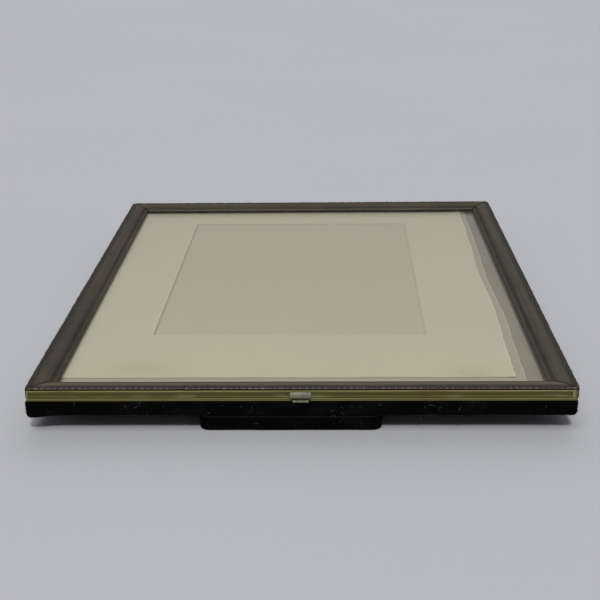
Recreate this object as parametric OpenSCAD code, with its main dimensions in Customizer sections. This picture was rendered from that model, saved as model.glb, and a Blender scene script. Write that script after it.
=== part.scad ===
// Glazed tabletop display frame. A glazed front opens on two hinges over a velvet
// back that carries the mounted sheet, and an easel leg folds flat under the back.
// It lies on its back, on the folded leg: +X right, +Y towards the hinged edge,
// +Z out through the glass. Origin: middle of the underside. Millimetres.

/* [Frame] */
// Outer width, left to right
frame_w = 212; // [200:1:230]
// Outer length, catch edge to hinged edge
frame_l = 263; // [250:1:285]
// Width of a front rail
rail_w = 10; // [9.6:0.1:11]
// Height of a front rail over the band
bezel_h = 1.2; // [1.1:0.05:1.5]
// Clear gap between two rails at a mitre
mitre_gap = 0.1; // [0.05:0.01:0.2]

/* [Band] */
// Height of the coved band under the front rails
band_h = 3.3; // [3.2:0.05:3.8]
// Depth of the cove in the band
cove_depth = 0.55; // [0.3:0.05:0.7]
// Thickness of the band's wall behind its lips
band_wall = 1.25; // [1.1:0.05:1.5]

/* [Glass] */
// How far the glass edge sits inside the frame's outer face
glass_inset = 4.5; // [3:0.1:6]
// Thickness of the glass
glass_t = 1.6; // [1.2:0.1:1.6]
// Thickness of the tabs and braces
tab_t = 0.35; // [0.3:0.05:0.4]

/* [Back] */
// Thickness of the velvet with its turned edge
velvet_t = 0.9; // [0.6:0.1:1.1]
// Thickness of the back board
board_t = 3; // [2.5:0.1:4]
// Height of the battens on the board
batten_h = 2.55; // [2:0.05:3]
// Height of the ridged rim on the back
rim_h = 1.25; // [1.2:0.05:1.6]
// Clear gap where the front meets the back
parting_gap = 0.1; // [0.06:0.01:0.2]
// Size of the chamfer round the back's lower edge
back_chamfer = 1.8; // [1:0.1:2.2]
// Radius of the back's upright corners
back_corner = 1.6; // [1.2:0.1:4]

/* [Mounted sheet] */
// Width of the sunk panel
panel_w = 119; // [90:1:140]
// Length of the sunk panel
panel_l = 168; // [140:1:180]
// Depth of the sunk panel
panel_depth = 0.2; // [0.1:0.05:0.3]

/* [Easel leg] */
// Width of the leg's foot
leg_foot_w = 72; // [60:1:90]
// Width of the leg's hinged end
leg_head_w = 42; // [34:1:56]
// Length of the leg
leg_l = 204.5; // [180:0.5:206]
// Distance of the leg's centre line from the frame's, to the right
leg_x = -4; // [-6:0.5:6]
// How far the leg opens, in degrees
leg_open = 30; // [20:1:35]

/* [Hinges and catch] */
// Distance of a front hinge from the frame's middle
hinge_x = 62; // [40:1:72]
// Width of a front hinge
hinge_w = 22; // [18:1:28]
// Width of the catch's thumb tab
tab_w = 8; // [7:0.1:10]

/* [Hidden] */

// Sides, anticlockwise from the catch edge; a side's turn is its number times 90 degrees
BOTTOM = 0;
RIGHT = 1;
TOP = 2;
LEFT = 3;

// Colours
BRONZE = "#5a5146";
BRASS = "#8a8250";
NICKEL = "#a8a592";
STEEL = "#8d8f90";
VELVET = "#17161a";
WOOD = "#a98b62";
CARD = "#d8d1b6";
UNDER = "#cfc8ae";
PAD = "#8f8780";
LINING = "#2a2628";
GLASS = [0.8, 0.88, 0.88, 0.3];

// Small working gaps
run_gap = 0.05; // a pin in a turning knuckle, radially
end_gap = 0.1; // between neighbouring knuckles
cut = 0.01; // how far a cutting shape runs past a face

// Heights, from the surface it lies on
leg_velvet_top = velvet_t;
leg_board_top = velvet_t + 4.8;
leg_top = leg_board_top + 0.6;
back_z = leg_top + 0.5;
board_z = back_z + velvet_t;
batten_z = board_z + board_t;
rim_z = batten_z + batten_h;
rim_top = rim_z + rim_h;
band_z = rim_top + parting_gap;
bezel_z = band_z + band_h;
glass_z = band_z + tab_t;
glass_top = glass_z + glass_t;

// Depths, inwards from the frame's outer face
flange_in = 7;
batten_in = 6.9;
lining_in = 7.2; // edge of the pad
sheets_in = 3.5; // edge of the sheets, which lie over the rim's flange
band_flange_t = 0.6;
rim_flange_t = 0.5;
rim_wall = 1.1;

// Heights of the pad and the sheets
pad_top = rim_z + rim_flange_t + 0.02;
under_top = pad_top + 0.3;
mount_top = under_top + 0.43;
panel_turn = -0.5; // the panel sits a little askew

// Front hinges: the knuckles stand outside the hinged edge, level with the parting gap
knuckle_r = 1.1;
hinge_pin_r = 0.5;
hinge_z = rim_top + parting_gap / 2;
knuckle_half = 4;
leaf_t = 0.45;
leaf_low = board_z + 1.9;
fixing_x = 7.5; // of a rivet or screw, from the hinge's middle
hinge_screw_z = batten_z + batten_h / 2;
hinge_rivet_z = (hinge_z + knuckle_r + end_gap + bezel_z - 0.1) / 2;
hinge_rivet_r = 0.4;
hinge_screw_r = 0.5;
hinge_proud = 2 * knuckle_r;

// Catch: a hasp on a small barrel below the parting gap
catch_r = 0.45;
catch_out = 0.9;
catch_z = rim_z + 0.3;
catch_pin_r = 0.2;
catch_half = 1.4;
catch_w = 6;
hasp_in = 0.45;
hasp_out = 0.95;
catch_proud = 1.55;

// The frame's middle, so that the whole part's box is centred on the origin
centre_y = (catch_proud - hinge_proud) / 2;

// Easel leg hinge
leg_near = -frame_l / 2 + 1;
leg_far = leg_near + leg_l;
leg_slope = (leg_foot_w - leg_head_w) / 2 / leg_l;
leg_corner_r = 4;
leg_axis_y = leg_far + 2;
leg_axis_z = leg_board_top - 0.5;
leg_knuckle_r = 1.5;
leg_pin_r = 0.7;
leg_knuckle_half = 6;
leg_hinge_half = 12;
leg_leaf_half = 9;
leg_leaf_t = 0.6;
leg_leaf_l = 26;
leg_leaf_z = leg_board_top - leg_leaf_t;
leg_plate_z = back_z - leg_leaf_t;
leg_plate_l = 20;
leg_plate_gap = leg_knuckle_r + 0.5;
leg_rivet_r = 0.8;
leg_rivets_x = 7.5;
heel_l = 3.5;

function reach(side) = side % 2 == 0 ? frame_l / 2 : frame_w / 2;
function span(side) = side % 2 == 0 ? frame_w : frame_l;
function unit(v) = v / norm(v);
function rectangle(w, l) = [[-w / 2, -l / 2], [w / 2, -l / 2], [w / 2, l / 2], [-w / 2, l / 2]];

// Corners of an anticlockwise outline rounded to radius r with n steps each
function rounded(points, r, n = 6) = [
    for (i = [0 : len(points) - 1])
        let (
            p = points[i],
            before = unit(points[(i + len(points) - 1) % len(points)] - p),
            after = unit(points[(i + 1) % len(points)] - p),
            half = acos(before * after) / 2,
            centre = p + unit(before + after) * r / sin(half),
            start = p + before * r / tan(half) - centre
        )
        for (k = [0 : n])
            let (t = (180 - 2 * half) * k / n)
            centre + [start[0] * cos(t) - start[1] * sin(t), start[0] * sin(t) + start[1] * cos(t)]
];

// A round hollow of a given depth from z0 up to z1, as [inwards, up]
function hollow(z0, z1, depth, n = 8) =
    let (half = (z1 - z0) / 2, r = (half * half + depth * depth) / 2 / depth, a = asin(half / r))
    [for (i = [-n / 2 : n / 2])
        let (t = 2 * a * i / n) [r * cos(t) - r + depth, (z0 + z1) / 2 + r * sin(t)]];

// A half-round bead from z0 up, standing out to the outer face, as [inwards, up]
function bead(z0, r, n = 6) =
    [for (i = [-n / 2 : n / 2]) let (t = 180 * i / n) [r - r * cos(t), z0 + r + r * sin(t)]];

// Section of a front rail: beaded edge, broad crown, step, cove and the lip over the glass
bezel_section = [
    [0.5, bezel_z], [0.5, bezel_z + 0.25], [0, bezel_z + bezel_h / 2],
    [0.7, bezel_z + bezel_h], [1.35, bezel_z + 0.85],
    [3.5, bezel_z + 0.95], [5.9, bezel_z + 0.6],
    [6.3, bezel_z + 0.85], [7, bezel_z + 0.75],
    [7.8, bezel_z + 0.1], [8.4, bezel_z - 0.05], [9.3, bezel_z],
    [rail_w, bezel_z - 0.8], [rail_w, glass_top], [8.2, glass_top],
    [flange_in + 0.1, bezel_z - 0.3], [flange_in + 0.1, bezel_z],
];

// Section of the band: lower lip, cove, upper lip and the flange under the front rail
band_section = concat(
    [[0, band_z]],
    hollow(band_z + 0.5, bezel_z - 0.7, cove_depth),
    [[0, bezel_z], [flange_in, bezel_z], [flange_in, bezel_z - band_flange_t],
     [band_wall, bezel_z - band_flange_t], [band_wall, band_z]]
);

// Section of the rim: two beads over a flat flange
rim_section = concat(
    bead(rim_z, rim_h / 4),
    bead(rim_z + rim_h / 2, rim_h / 4),
    [[rim_wall, rim_top], [rim_wall, rim_z + rim_flange_t],
     [batten_in - 0.1, rim_z + rim_flange_t], [batten_in - 0.1, rim_z]]
);

// Outline of the leg, shrunk by an inset
function leg_half(y, inset) =
    leg_foot_w / 2 - leg_slope * (y - leg_near) - inset * sqrt(1 + leg_slope * leg_slope);
function leg_plan(inset) =
    let (near = leg_near + inset, far = leg_far - inset)
    rounded([
        [-leg_half(near, inset), near], [leg_half(near, inset), near],
        [leg_half(far, inset), far], [-leg_half(far, inset), far],
    ], leg_corner_r - inset);

// Moves its children to the frame's middle
module centred() translate([0, centre_y, 0]) children();

// Puts its children on a side: X along it, Y inwards from its outer face
module at_side(side) centred() rotate([0, 0, 90 * side]) translate([0, -reach(side), 0]) children();

// A mitred rail along a side with a given section
module rail(side, section) at_side(side) intersection() {
    rotate([90, 0, 90]) linear_extrude(span(side), center = true) polygon(section);
    linear_extrude(bezel_z + bezel_h + 1) polygon([
        [-span(side) / 2 + mitre_gap / 2, 0], [span(side) / 2 - mitre_gap / 2, 0],
        [span(side) / 2 - rail_w - mitre_gap / 2, rail_w],
        [-span(side) / 2 + rail_w + mitre_gap / 2, rail_w],
    ]);
}

// A flat sheet with a given outline, from z0 up to z1
module slab(outline, z0, z1) translate([0, 0, z0]) linear_extrude(z1 - z0) polygon(outline);

// A block with rounded upright corners and a chamfer round its lower edge
module soft_block(w, l, r, z0, z1, chamfer) {
    function side_view(width) = [
        [-width / 2 + chamfer, z0], [width / 2 - chamfer, z0], [width / 2, z0 + chamfer],
        [width / 2, z1], [-width / 2, z1], [-width / 2, z0 + chamfer],
    ];
    intersection() {
        slab(rounded(rectangle(w, l), r), z0, z1);
        rotate([90, 0, 0]) linear_extrude(2 * l, center = true) polygon(side_view(w));
        rotate([90, 0, 90]) linear_extrude(2 * w, center = true) polygon(side_view(l));
    }
}

// A round bar along X from x0 to x1, a distance out from the outer face
module bar(x0, x1, out, z, r) translate([x0, -out, z]) rotate([0, 90, 0]) cylinder(r = r, h = x1 - x0, $fn = 40);

// A round peg that runs in through the outer face, from one depth to another
module peg(x, from, to, z, r) translate([x, from, z]) rotate([-90, 0, 0]) cylinder(r = r, h = to - from, $fn = 32);

// An upright round peg
module post(x, y, z0, z1, r) translate([x, y, z0]) cylinder(r = r, h = z1 - z0, $fn = 32);

// Its children once on each side of X = 0
module both_ways() {
    children();
    mirror([1, 0, 0]) children();
}

// ---- Back ----

// What the velvet encloses, up to a given height
module back_core(z1) centred() soft_block(
    frame_w - 2 * velvet_t, frame_l - 2 * velvet_t, back_corner - velvet_t,
    board_z, z1, back_chamfer - (2 - sqrt(2)) * velvet_t
);

// Holes for the leg plate's rivets
module leg_plate_holes(z0, z1) centred() translate([leg_x, leg_axis_y + leg_plate_gap, 0])
    both_ways() for (y = [0.3, 0.8]) post(leg_rivets_x, y * leg_plate_l, z0, z1, leg_rivet_r);

// Holes for the front hinges' screws
module hinge_screw_holes() at_side(TOP) both_ways() for (x = [-fixing_x, fixing_x])
    peg(hinge_x + x, -leaf_t - cut, 4.5, hinge_screw_z, hinge_screw_r);

module back_board() color(WOOD) difference() {
    back_core(batten_z);
    leg_plate_holes(board_z - 1, board_z + 1.5);
}

module back_velvet() color(VELVET) difference() {
    centred() soft_block(frame_w, frame_l, back_corner, back_z, rim_z, back_chamfer);
    back_core(rim_z + 1);
    leg_plate_holes(back_z - 1, board_z + 1.5);
    hinge_screw_holes();
}

module batten(side) color(WOOD) difference() {
    intersection() {
        rail(side, [[velvet_t, batten_z], [batten_in, batten_z], [batten_in, rim_z], [velvet_t, rim_z]]);
        back_core(rim_z);
    }
    hinge_screw_holes();
}

module rim(side) color(BRASS) rail(side, rim_section);

module backing_pad() color(PAD) centred()
    slab(rectangle(frame_w - 2 * lining_in, frame_l - 2 * lining_in), batten_z, pad_top);

// A sheet worn narrower at its near right end, from z0 up to z1
module sheet(near, near_right, far_right, z0, z1) slab([
    [-frame_w / 2 + sheets_in, -frame_l / 2 + near], [frame_w / 2 - near_right, -frame_l / 2 + near],
    [frame_w / 2 - far_right, frame_l / 2 - sheets_in], [-frame_w / 2 + sheets_in, frame_l / 2 - sheets_in],
], z0, z1);

module under_sheet() color(UNDER) centred() sheet(sheets_in, 16.9, 14.6, pad_top, under_top);

module mount_sheet() color(CARD) centred() difference() {
    sheet(19.3, 20.8, 17.4, under_top, mount_top);
    translate([-5.5, 16.5, 0]) rotate([0, 0, panel_turn])
        slab(rectangle(panel_w, panel_l), mount_top - panel_depth, mount_top + 1);
}

// ---- Front hinges ----

module hinge_lower_leaf(x) color(STEEL) difference() {
    at_side(TOP) translate([x, 0, 0]) {
        translate([-hinge_w / 2, -leaf_t, leaf_low])
            cube([hinge_w, leaf_t, hinge_z - knuckle_r - end_gap - leaf_low]);
        both_ways() {
            bar(knuckle_half + end_gap, hinge_w / 2, knuckle_r, hinge_z, knuckle_r);
            translate([knuckle_half + end_gap, -leaf_t, hinge_z - knuckle_r - 1])
                cube([hinge_w / 2 - knuckle_half - end_gap, leaf_t, rim_top - hinge_z + knuckle_r + 1]);
        }
    }
    at_side(TOP) bar(x - hinge_w, x + hinge_w, knuckle_r, hinge_z, hinge_pin_r);
    hinge_screw_holes();
}

module hinge_upper_leaf(x) color(STEEL) at_side(TOP) translate([x, 0, 0]) difference() {
    union() {
        translate([-hinge_w / 2, -leaf_t, hinge_z + knuckle_r + end_gap])
            cube([hinge_w, leaf_t, bezel_z - 0.1 - hinge_z - knuckle_r - end_gap]);
        translate([-knuckle_half, -leaf_t, band_z]) cube([2 * knuckle_half, leaf_t, knuckle_r + 1]);
        bar(-knuckle_half, knuckle_half, knuckle_r, hinge_z, knuckle_r);
    }
    bar(-hinge_w, hinge_w, knuckle_r, hinge_z, hinge_pin_r + run_gap);
    both_ways() peg(fixing_x, -1, 1, hinge_rivet_z, hinge_rivet_r);
}

module hinge_pin(x) color(STEEL) at_side(TOP)
    bar(x - hinge_w / 2, x + hinge_w / 2, knuckle_r, hinge_z, hinge_pin_r);

module hinge_screws() color(STEEL) at_side(TOP) both_ways() for (x = [-fixing_x, fixing_x]) {
    peg(hinge_x + x, -leaf_t - 0.4, -leaf_t, hinge_screw_z, 0.9);
    peg(hinge_x + x, -leaf_t - 0.1, 4.5, hinge_screw_z, hinge_screw_r);
}

module hinge_rivets() color(STEEL) at_side(TOP) both_ways() for (x = [-fixing_x, fixing_x]) {
    peg(hinge_x + x, -leaf_t - 0.35, -leaf_t, hinge_rivet_z, 0.7);
    peg(hinge_x + x, -leaf_t - 0.1, band_wall + 0.1, hinge_rivet_z, hinge_rivet_r);
    peg(hinge_x + x, band_wall, band_wall + 0.25, hinge_rivet_z, 0.5);
}

// ---- Catch ----

module catch_bracket() color(BRASS) at_side(BOTTOM) difference() {
    union() {
        translate([-catch_w / 2, -0.3, rim_z]) cube([catch_w, 0.3, rim_h - 0.1]);
        both_ways() {
            bar(catch_half + end_gap, catch_w / 2, catch_out, catch_z, catch_r);
            translate([catch_half + end_gap, -catch_out, catch_z - 0.1])
                cube([catch_w / 2 - catch_half - end_gap, catch_out - 0.1, 0.5]);
        }
    }
    bar(-catch_w, catch_w, catch_out, catch_z, catch_pin_r);
}

module catch_pin() color(STEEL) at_side(BOTTOM)
    bar(-catch_w / 2, catch_w / 2, catch_out, catch_z, catch_pin_r);

// Section of the hasp's thumb tab, flared at its lower edge, as [outwards, up]
hasp_tab = [
    [hasp_in, catch_z + 1.95], [1.4, catch_z + 1.95], [catch_proud, catch_z + 2.25],
    [1.35, catch_z + 2.9], [0.8, catch_z + 3.75], [0.3, catch_z + 3.95],
    [0.2, catch_z + 3.75], [hasp_in, catch_z + 3.1],
];

module catch_hasp() color(NICKEL) at_side(BOTTOM) difference() {
    union() {
        bar(-catch_half, catch_half, catch_out, catch_z, catch_r);
        translate([-catch_half, -hasp_out, catch_z])
            cube([2 * catch_half, hasp_out - hasp_in, catch_r + 0.3]);
        translate([-catch_w / 2, -hasp_out, catch_z + catch_r + 0.15])
            cube([catch_w, hasp_out - hasp_in, 1.4]);
        mirror([0, 1, 0]) rotate([90, 0, 90]) linear_extrude(tab_w, center = true) polygon(hasp_tab);
    }
    bar(-catch_w, catch_w, catch_out, catch_z, catch_pin_r + run_gap);
}

// ---- Glazed front ----

module bezel(side) color(BRONZE) rail(side, bezel_section);

module band(side) color(BRASS) difference() {
    rail(side, band_section);
    at_side(TOP) both_ways() for (x = [-fixing_x, fixing_x])
        peg(hinge_x + x, -1, 2, hinge_rivet_z, hinge_rivet_r);
}

module glass() color(GLASS) centred()
    slab(rectangle(frame_w - 2 * glass_inset, frame_l - 2 * glass_inset), glass_z, glass_top);

// Two tabs a side that hold the glass up from below
module glass_tabs() color(BRASS) for (side = [BOTTOM : LEFT]) at_side(side)
    for (x = [-0.3, 0.3] * span(side))
        translate([x - 4, band_wall, band_z]) cube([8, flange_in - band_wall, tab_t]);

// L-shaped plates under the band's flange at the four corners
module corner_braces() color(BRASS) for (side = [BOTTOM : LEFT]) at_side(side)
    translate([-span(side) / 2 + band_wall + 0.05, band_wall + 0.05, bezel_z - band_flange_t - tab_t])
        linear_extrude(tab_t) polygon([[0, 0], [18, 0], [18, 5.5], [5.5, 5.5], [5.5, 18], [0, 18]]);

// ---- Easel leg ----

// The leaf's tongue, let into the top of the leg's board
module leg_tongue(z1) translate([-leg_leaf_half, leg_far - leg_leaf_l, leg_leaf_z])
    cube([2 * leg_leaf_half, leg_leaf_l - 0.1, z1 - leg_leaf_z]);

// Where the leaf leaves the leg's hinged end
module leg_neck(z1) translate([-leg_knuckle_half, leg_far - 1, leg_leaf_z])
    cube([2 * leg_knuckle_half, leg_axis_y - leg_far + 1, z1 - leg_leaf_z]);

// Rivets or their holes through the leg's leaf
module leg_leaf_pegs(z1) both_ways() for (y = [6, 19])
    post(5.5, leg_far - y, velvet_t + 1.5, z1, leg_rivet_r);

module leg_board() color(WOOD) centred() translate([leg_x, 0, 0]) difference() {
    slab(leg_plan(velvet_t), leg_velvet_top, leg_board_top);
    leg_tongue(leg_board_top + 1);
    leg_neck(leg_board_top + 1);
    leg_leaf_pegs(leg_board_top + 1);
}

module leg_velvet() color(VELVET) centred() translate([leg_x, 0, 0]) difference() {
    slab(leg_plan(0), 0, leg_board_top);
    slab(leg_plan(velvet_t), leg_velvet_top, leg_board_top + 1);
    leg_tongue(leg_board_top + 1);
    leg_neck(leg_board_top + 1);
}

module leg_lining() color(LINING) centred() translate([leg_x, 0, 0])
    slab(leg_plan(0.4), leg_board_top, leg_top);

module leg_knuckle(x0, x1) translate([x0, leg_axis_y, leg_axis_z]) rotate([0, 90, 0])
    cylinder(r = leg_knuckle_r, h = x1 - x0, $fn = 48);

module leg_bore(r) translate([-leg_hinge_half, leg_axis_y, leg_axis_z]) rotate([0, 90, 0])
    cylinder(r = r, h = 2 * leg_hinge_half, $fn = 48);

module leg_hinge_leaf() color(STEEL) centred() translate([leg_x, 0, 0]) difference() {
    union() {
        leg_tongue(leg_board_top);
        leg_neck(leg_board_top);
        leg_knuckle(-leg_knuckle_half, leg_knuckle_half);
        // The heel meets the fixed plate when the leg is fully open
        translate([-leg_knuckle_half, leg_axis_y, leg_axis_z]) rotate([-leg_open, 0, 0])
            translate([0, 0, -0.4])
                cube([2 * leg_knuckle_half, heel_l, leg_plate_z - leg_axis_z + 0.4 - run_gap]);
    }
    leg_bore(leg_pin_r + run_gap);
    leg_leaf_pegs(leg_board_top + 1);
}

module leg_leaf_rivets() color(STEEL) centred() translate([leg_x, 0, 0]) leg_leaf_pegs(leg_board_top);

module leg_hinge_plate() color(STEEL) difference() {
    centred() translate([leg_x, 0, 0]) {
        translate([-leg_hinge_half, leg_axis_y + leg_plate_gap, leg_plate_z])
            cube([2 * leg_hinge_half, leg_plate_l, leg_leaf_t]);
        both_ways() {
            leg_knuckle(leg_knuckle_half + end_gap, leg_hinge_half);
            translate([leg_knuckle_half + end_gap, leg_axis_y, leg_plate_z])
                cube([leg_hinge_half - leg_knuckle_half - end_gap, leg_plate_gap + 1, leg_leaf_t]);
        }
    }
    centred() translate([leg_x, 0, 0]) leg_bore(leg_pin_r);
    leg_plate_holes(leg_plate_z - 1, back_z + 1);
}

module leg_hinge_pin() color(STEEL) centred() translate([leg_x, 0, 0]) leg_bore(leg_pin_r);

module leg_plate_rivets() color(STEEL) {
    leg_plate_holes(leg_plate_z - 0.1, board_z + 1.5);
    centred() translate([leg_x, leg_axis_y + leg_plate_gap, 0]) both_ways() for (y = [0.3, 0.8])
        post(leg_rivets_x, y * leg_plate_l, leg_plate_z - 0.45, leg_plate_z, 1.5);
}

back_board();
batten(BOTTOM);  // batten_bottom
batten(RIGHT);  // batten_right
batten(TOP);  // batten_top
batten(LEFT);  // batten_left
back_velvet();
rim(BOTTOM);  // rim_bottom
rim(RIGHT);  // rim_right
rim(TOP);  // rim_top
rim(LEFT);  // rim_left
backing_pad();
under_sheet();
mount_sheet();
hinge_lower_leaf(hinge_x);  // left_hinge_lower_leaf
hinge_lower_leaf(-hinge_x);  // right_hinge_lower_leaf
hinge_pin(hinge_x);  // left_hinge_pin
hinge_pin(-hinge_x);  // right_hinge_pin
hinge_screws();
catch_bracket();
catch_pin();
leg_hinge_plate();
leg_hinge_pin();
leg_plate_rivets();
bezel(BOTTOM);  // bezel_bottom
bezel(RIGHT);  // bezel_right
bezel(TOP);  // bezel_top
bezel(LEFT);  // bezel_left
band(BOTTOM);  // band_bottom
band(RIGHT);  // band_right
band(TOP);  // band_top
band(LEFT);  // band_left
glass();
glass_tabs();
corner_braces();
hinge_upper_leaf(hinge_x);  // left_hinge_upper_leaf
hinge_upper_leaf(-hinge_x);  // right_hinge_upper_leaf
hinge_rivets();
catch_hasp();
leg_board();
leg_velvet();
leg_lining();
leg_hinge_leaf();
leg_leaf_rivets();
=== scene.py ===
"""Looks of a glazed tabletop display frame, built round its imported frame.

The object lies on its back, on its folded easel leg: X to the right, Y towards the
hinged edge, Z out through the glass. Sections and plans are in millimetres; meshes
are in metres, in place.
"""

import logging
import math
from dataclasses import dataclass, field
from enum import Enum
from typing import Callable, Iterable, Sequence

import bmesh
import bpy
import numpy as np
from mathutils import Matrix, Vector


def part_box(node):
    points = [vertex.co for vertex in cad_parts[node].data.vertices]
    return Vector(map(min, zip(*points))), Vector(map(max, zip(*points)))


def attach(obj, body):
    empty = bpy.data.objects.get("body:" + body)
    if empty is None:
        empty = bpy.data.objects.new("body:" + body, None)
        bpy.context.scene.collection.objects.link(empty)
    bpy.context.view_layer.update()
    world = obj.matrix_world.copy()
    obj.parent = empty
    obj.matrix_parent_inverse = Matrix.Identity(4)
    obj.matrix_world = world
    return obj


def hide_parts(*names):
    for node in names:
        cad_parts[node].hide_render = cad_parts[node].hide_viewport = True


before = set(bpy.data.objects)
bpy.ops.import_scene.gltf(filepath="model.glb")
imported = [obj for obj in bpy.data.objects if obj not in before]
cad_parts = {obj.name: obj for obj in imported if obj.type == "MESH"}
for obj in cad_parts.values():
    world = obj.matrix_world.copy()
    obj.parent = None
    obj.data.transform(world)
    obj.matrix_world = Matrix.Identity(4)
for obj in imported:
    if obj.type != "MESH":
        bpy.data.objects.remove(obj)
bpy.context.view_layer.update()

MM = 0.001
LOG = logging.getLogger("display_frame")

Colour = tuple[float, float, float]
Value = "Wire | float | int | bool | str | Sequence[float] | bpy.types.ID"


# ---- Nodes ----


class Wire:
    """An output socket; sums on it add Math nodes to its tree."""

    def __init__(self, web: "Web", socket: bpy.types.NodeSocket) -> None:
        """Keeps the socket and the web that it belongs to."""
        self.web = web
        self.socket = socket

    def _math(self, operation: str, *values: "Wire | float") -> "Wire":
        """Adds a Math node.

        Args:
            operation: the node's operation.
            values: what its inputs take, in order.

        Returns:
            The node's output.
        """
        return self.web.node("ShaderNodeMath", {"operation": operation}, dict(enumerate(values)))

    def __add__(self, other: "Wire | float") -> "Wire":
        """Adds the two."""
        return self._math("ADD", self, other)

    def __sub__(self, other: "Wire | float") -> "Wire":
        """Takes other away."""
        return self._math("SUBTRACT", self, other)

    def __rsub__(self, other: "Wire | float") -> "Wire":
        """Takes this away from other."""
        return self._math("SUBTRACT", other, self)

    def __mul__(self, other: "Wire | float") -> "Wire":
        """Multiplies the two."""
        return self._math("MULTIPLY", self, other)

    def __pow__(self, other: "Wire | float") -> "Wire":
        """Raises this to a power."""
        return self._math("POWER", self, other)

    __radd__ = __add__
    __rmul__ = __mul__

    def band(self, low: float, high: float) -> "Wire":
        """Runs smoothly from 0 at low to 1 at high."""
        settings = {"interpolation_type": "SMOOTHSTEP"}
        return self.web.node("ShaderNodeMapRange", settings, {0: self, 1: low, 2: high})


class Web:
    """Adds nodes to a shader or geometry tree."""

    def __init__(self, tree: bpy.types.NodeTree) -> None:
        """Keeps the tree."""
        self.tree = tree

    def node(self, kind: str, settings: dict | None = None, sockets: dict | None = None,
             out: int | str = 0) -> Wire:
        """Adds one node.

        Args:
            kind: the node's type.
            settings: properties, set before its sockets; "stops" fills a ramp.
            sockets: what each input takes, by index or name: a Wire or a plain value.
            out: the output to return, by index or name.

        Returns:
            That output.
        """
        made = self.tree.nodes.new(kind)
        for name, value in (settings or {}).items():
            if name == "stops":
                self._fill_ramp(made.color_ramp.elements, value)
            else:
                setattr(made, name, value)
        for key, value in (sockets or {}).items():
            for one in value if isinstance(value, list) else [value]:
                if isinstance(one, Wire):
                    self.tree.links.new(one.socket, made.inputs[key])
                else:
                    made.inputs[key].default_value = one
        return Wire(self, made.outputs[out]) if made.outputs else Wire(self, made.inputs[0])

    @staticmethod
    def _fill_ramp(elements: bpy.types.ColorRampElements, stops: list) -> None:
        """Puts (place, colour) stops on a ramp."""
        while len(elements) < len(stops):
            elements.new(1.0)
        for element, (place, colour) in zip(elements, stops):
            element.position = place
            element.color = (*colour, 1.0)

    def mix(self, share: "Wire | float", first: "Wire | Colour", second: "Wire | Colour") -> Wire:
        """Mixes two colours, from first at 0 to second at 1."""
        a, b = (c if isinstance(c, Wire) else (*c, 1.0) for c in (first, second))
        return self.node("ShaderNodeMix", {"data_type": "RGBA"}, {0: share, 6: a, 7: b}, out=2)

    def place(self, stretch: Sequence[float] = (1, 1, 1), along: bool = False) -> Wire:
        """A place on the piece, for patterns.

        Args:
            stretch: how much finer the pattern is along each axis.
            along: True to run with the piece's own map instead of the object.

        Returns:
            The stretched place.
        """
        source = self.node("ShaderNodeTexCoord", out="UV" if along else "Object")
        return self.node("ShaderNodeMapping", None, {"Vector": source, "Scale": tuple(stretch)})

    def noise(self, place: Wire, scale: float, detail: float = 3.0, rough: float = 0.55) -> Wire:
        """Soft random values around 0.5 at a place."""
        values = {"Vector": place, "Scale": scale, "Detail": detail, "Roughness": rough}
        return self.node("ShaderNodeTexNoise", None, values)

    def speck(self, place: Wire, scale: float, size: float) -> Wire:
        """Sparse round specks.

        Args:
            place: where the pattern is read.
            scale: cells per metre.
            size: how much of its cell a speck fills, from 0 to 1.

        Returns:
            1 in a speck's middle, 0 outside.
        """
        far = self.node("ShaderNodeTexVoronoi", None, {"Vector": place, "Scale": scale})
        return 1.0 - far.band(size * 0.5, size)

    def mark(self, name: str) -> Wire:
        """A named value that the mesh carries."""
        return self.node("ShaderNodeAttribute", {"attribute_name": name}, out="Fac")

    def bump(self, height: Wire, strength: float, distance: float) -> Wire:
        """A normal from a height.

        Args:
            height: the height, 0 to 1.
            strength: how strongly it shows.
            distance: the height's real size in metres.

        Returns:
            The normal.
        """
        values = {"Strength": strength, "Distance": distance, "Height": height}
        return self.node("ShaderNodeBump", None, values)


# ---- Finishes ----


@dataclass(frozen=True)
class Finish:
    """A finish, made once as a material.

    Attributes:
        name: the material's name.
        slot: the record's material slot; not used here.
    """

    name: str
    slot: str

    def sockets(self, web: Web) -> dict[str, "Wire | float | Colour"]:
        """What the shader's sockets take; each finish has its own."""
        raise NotImplementedError

    def material(self) -> bpy.types.Material:
        """The material, built on first use."""
        known = bpy.data.materials.get(self.name)
        if known:
            return known
        made = bpy.data.materials.new(self.name)
        made.use_nodes = True
        made.node_tree.nodes.clear()
        self.build(Web(made.node_tree))
        return made

    def build(self, web: Web) -> None:
        """Wires one shader to the output."""
        values = {
            key: (*value, 1.0) if isinstance(value, tuple) and len(value) == 3 else value
            for key, value in self.sockets(web).items()
        }
        shader = web.node("ShaderNodeBsdfPrincipled", None, values)
        web.node("ShaderNodeOutputMaterial", None, {"Surface": shader})


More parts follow.
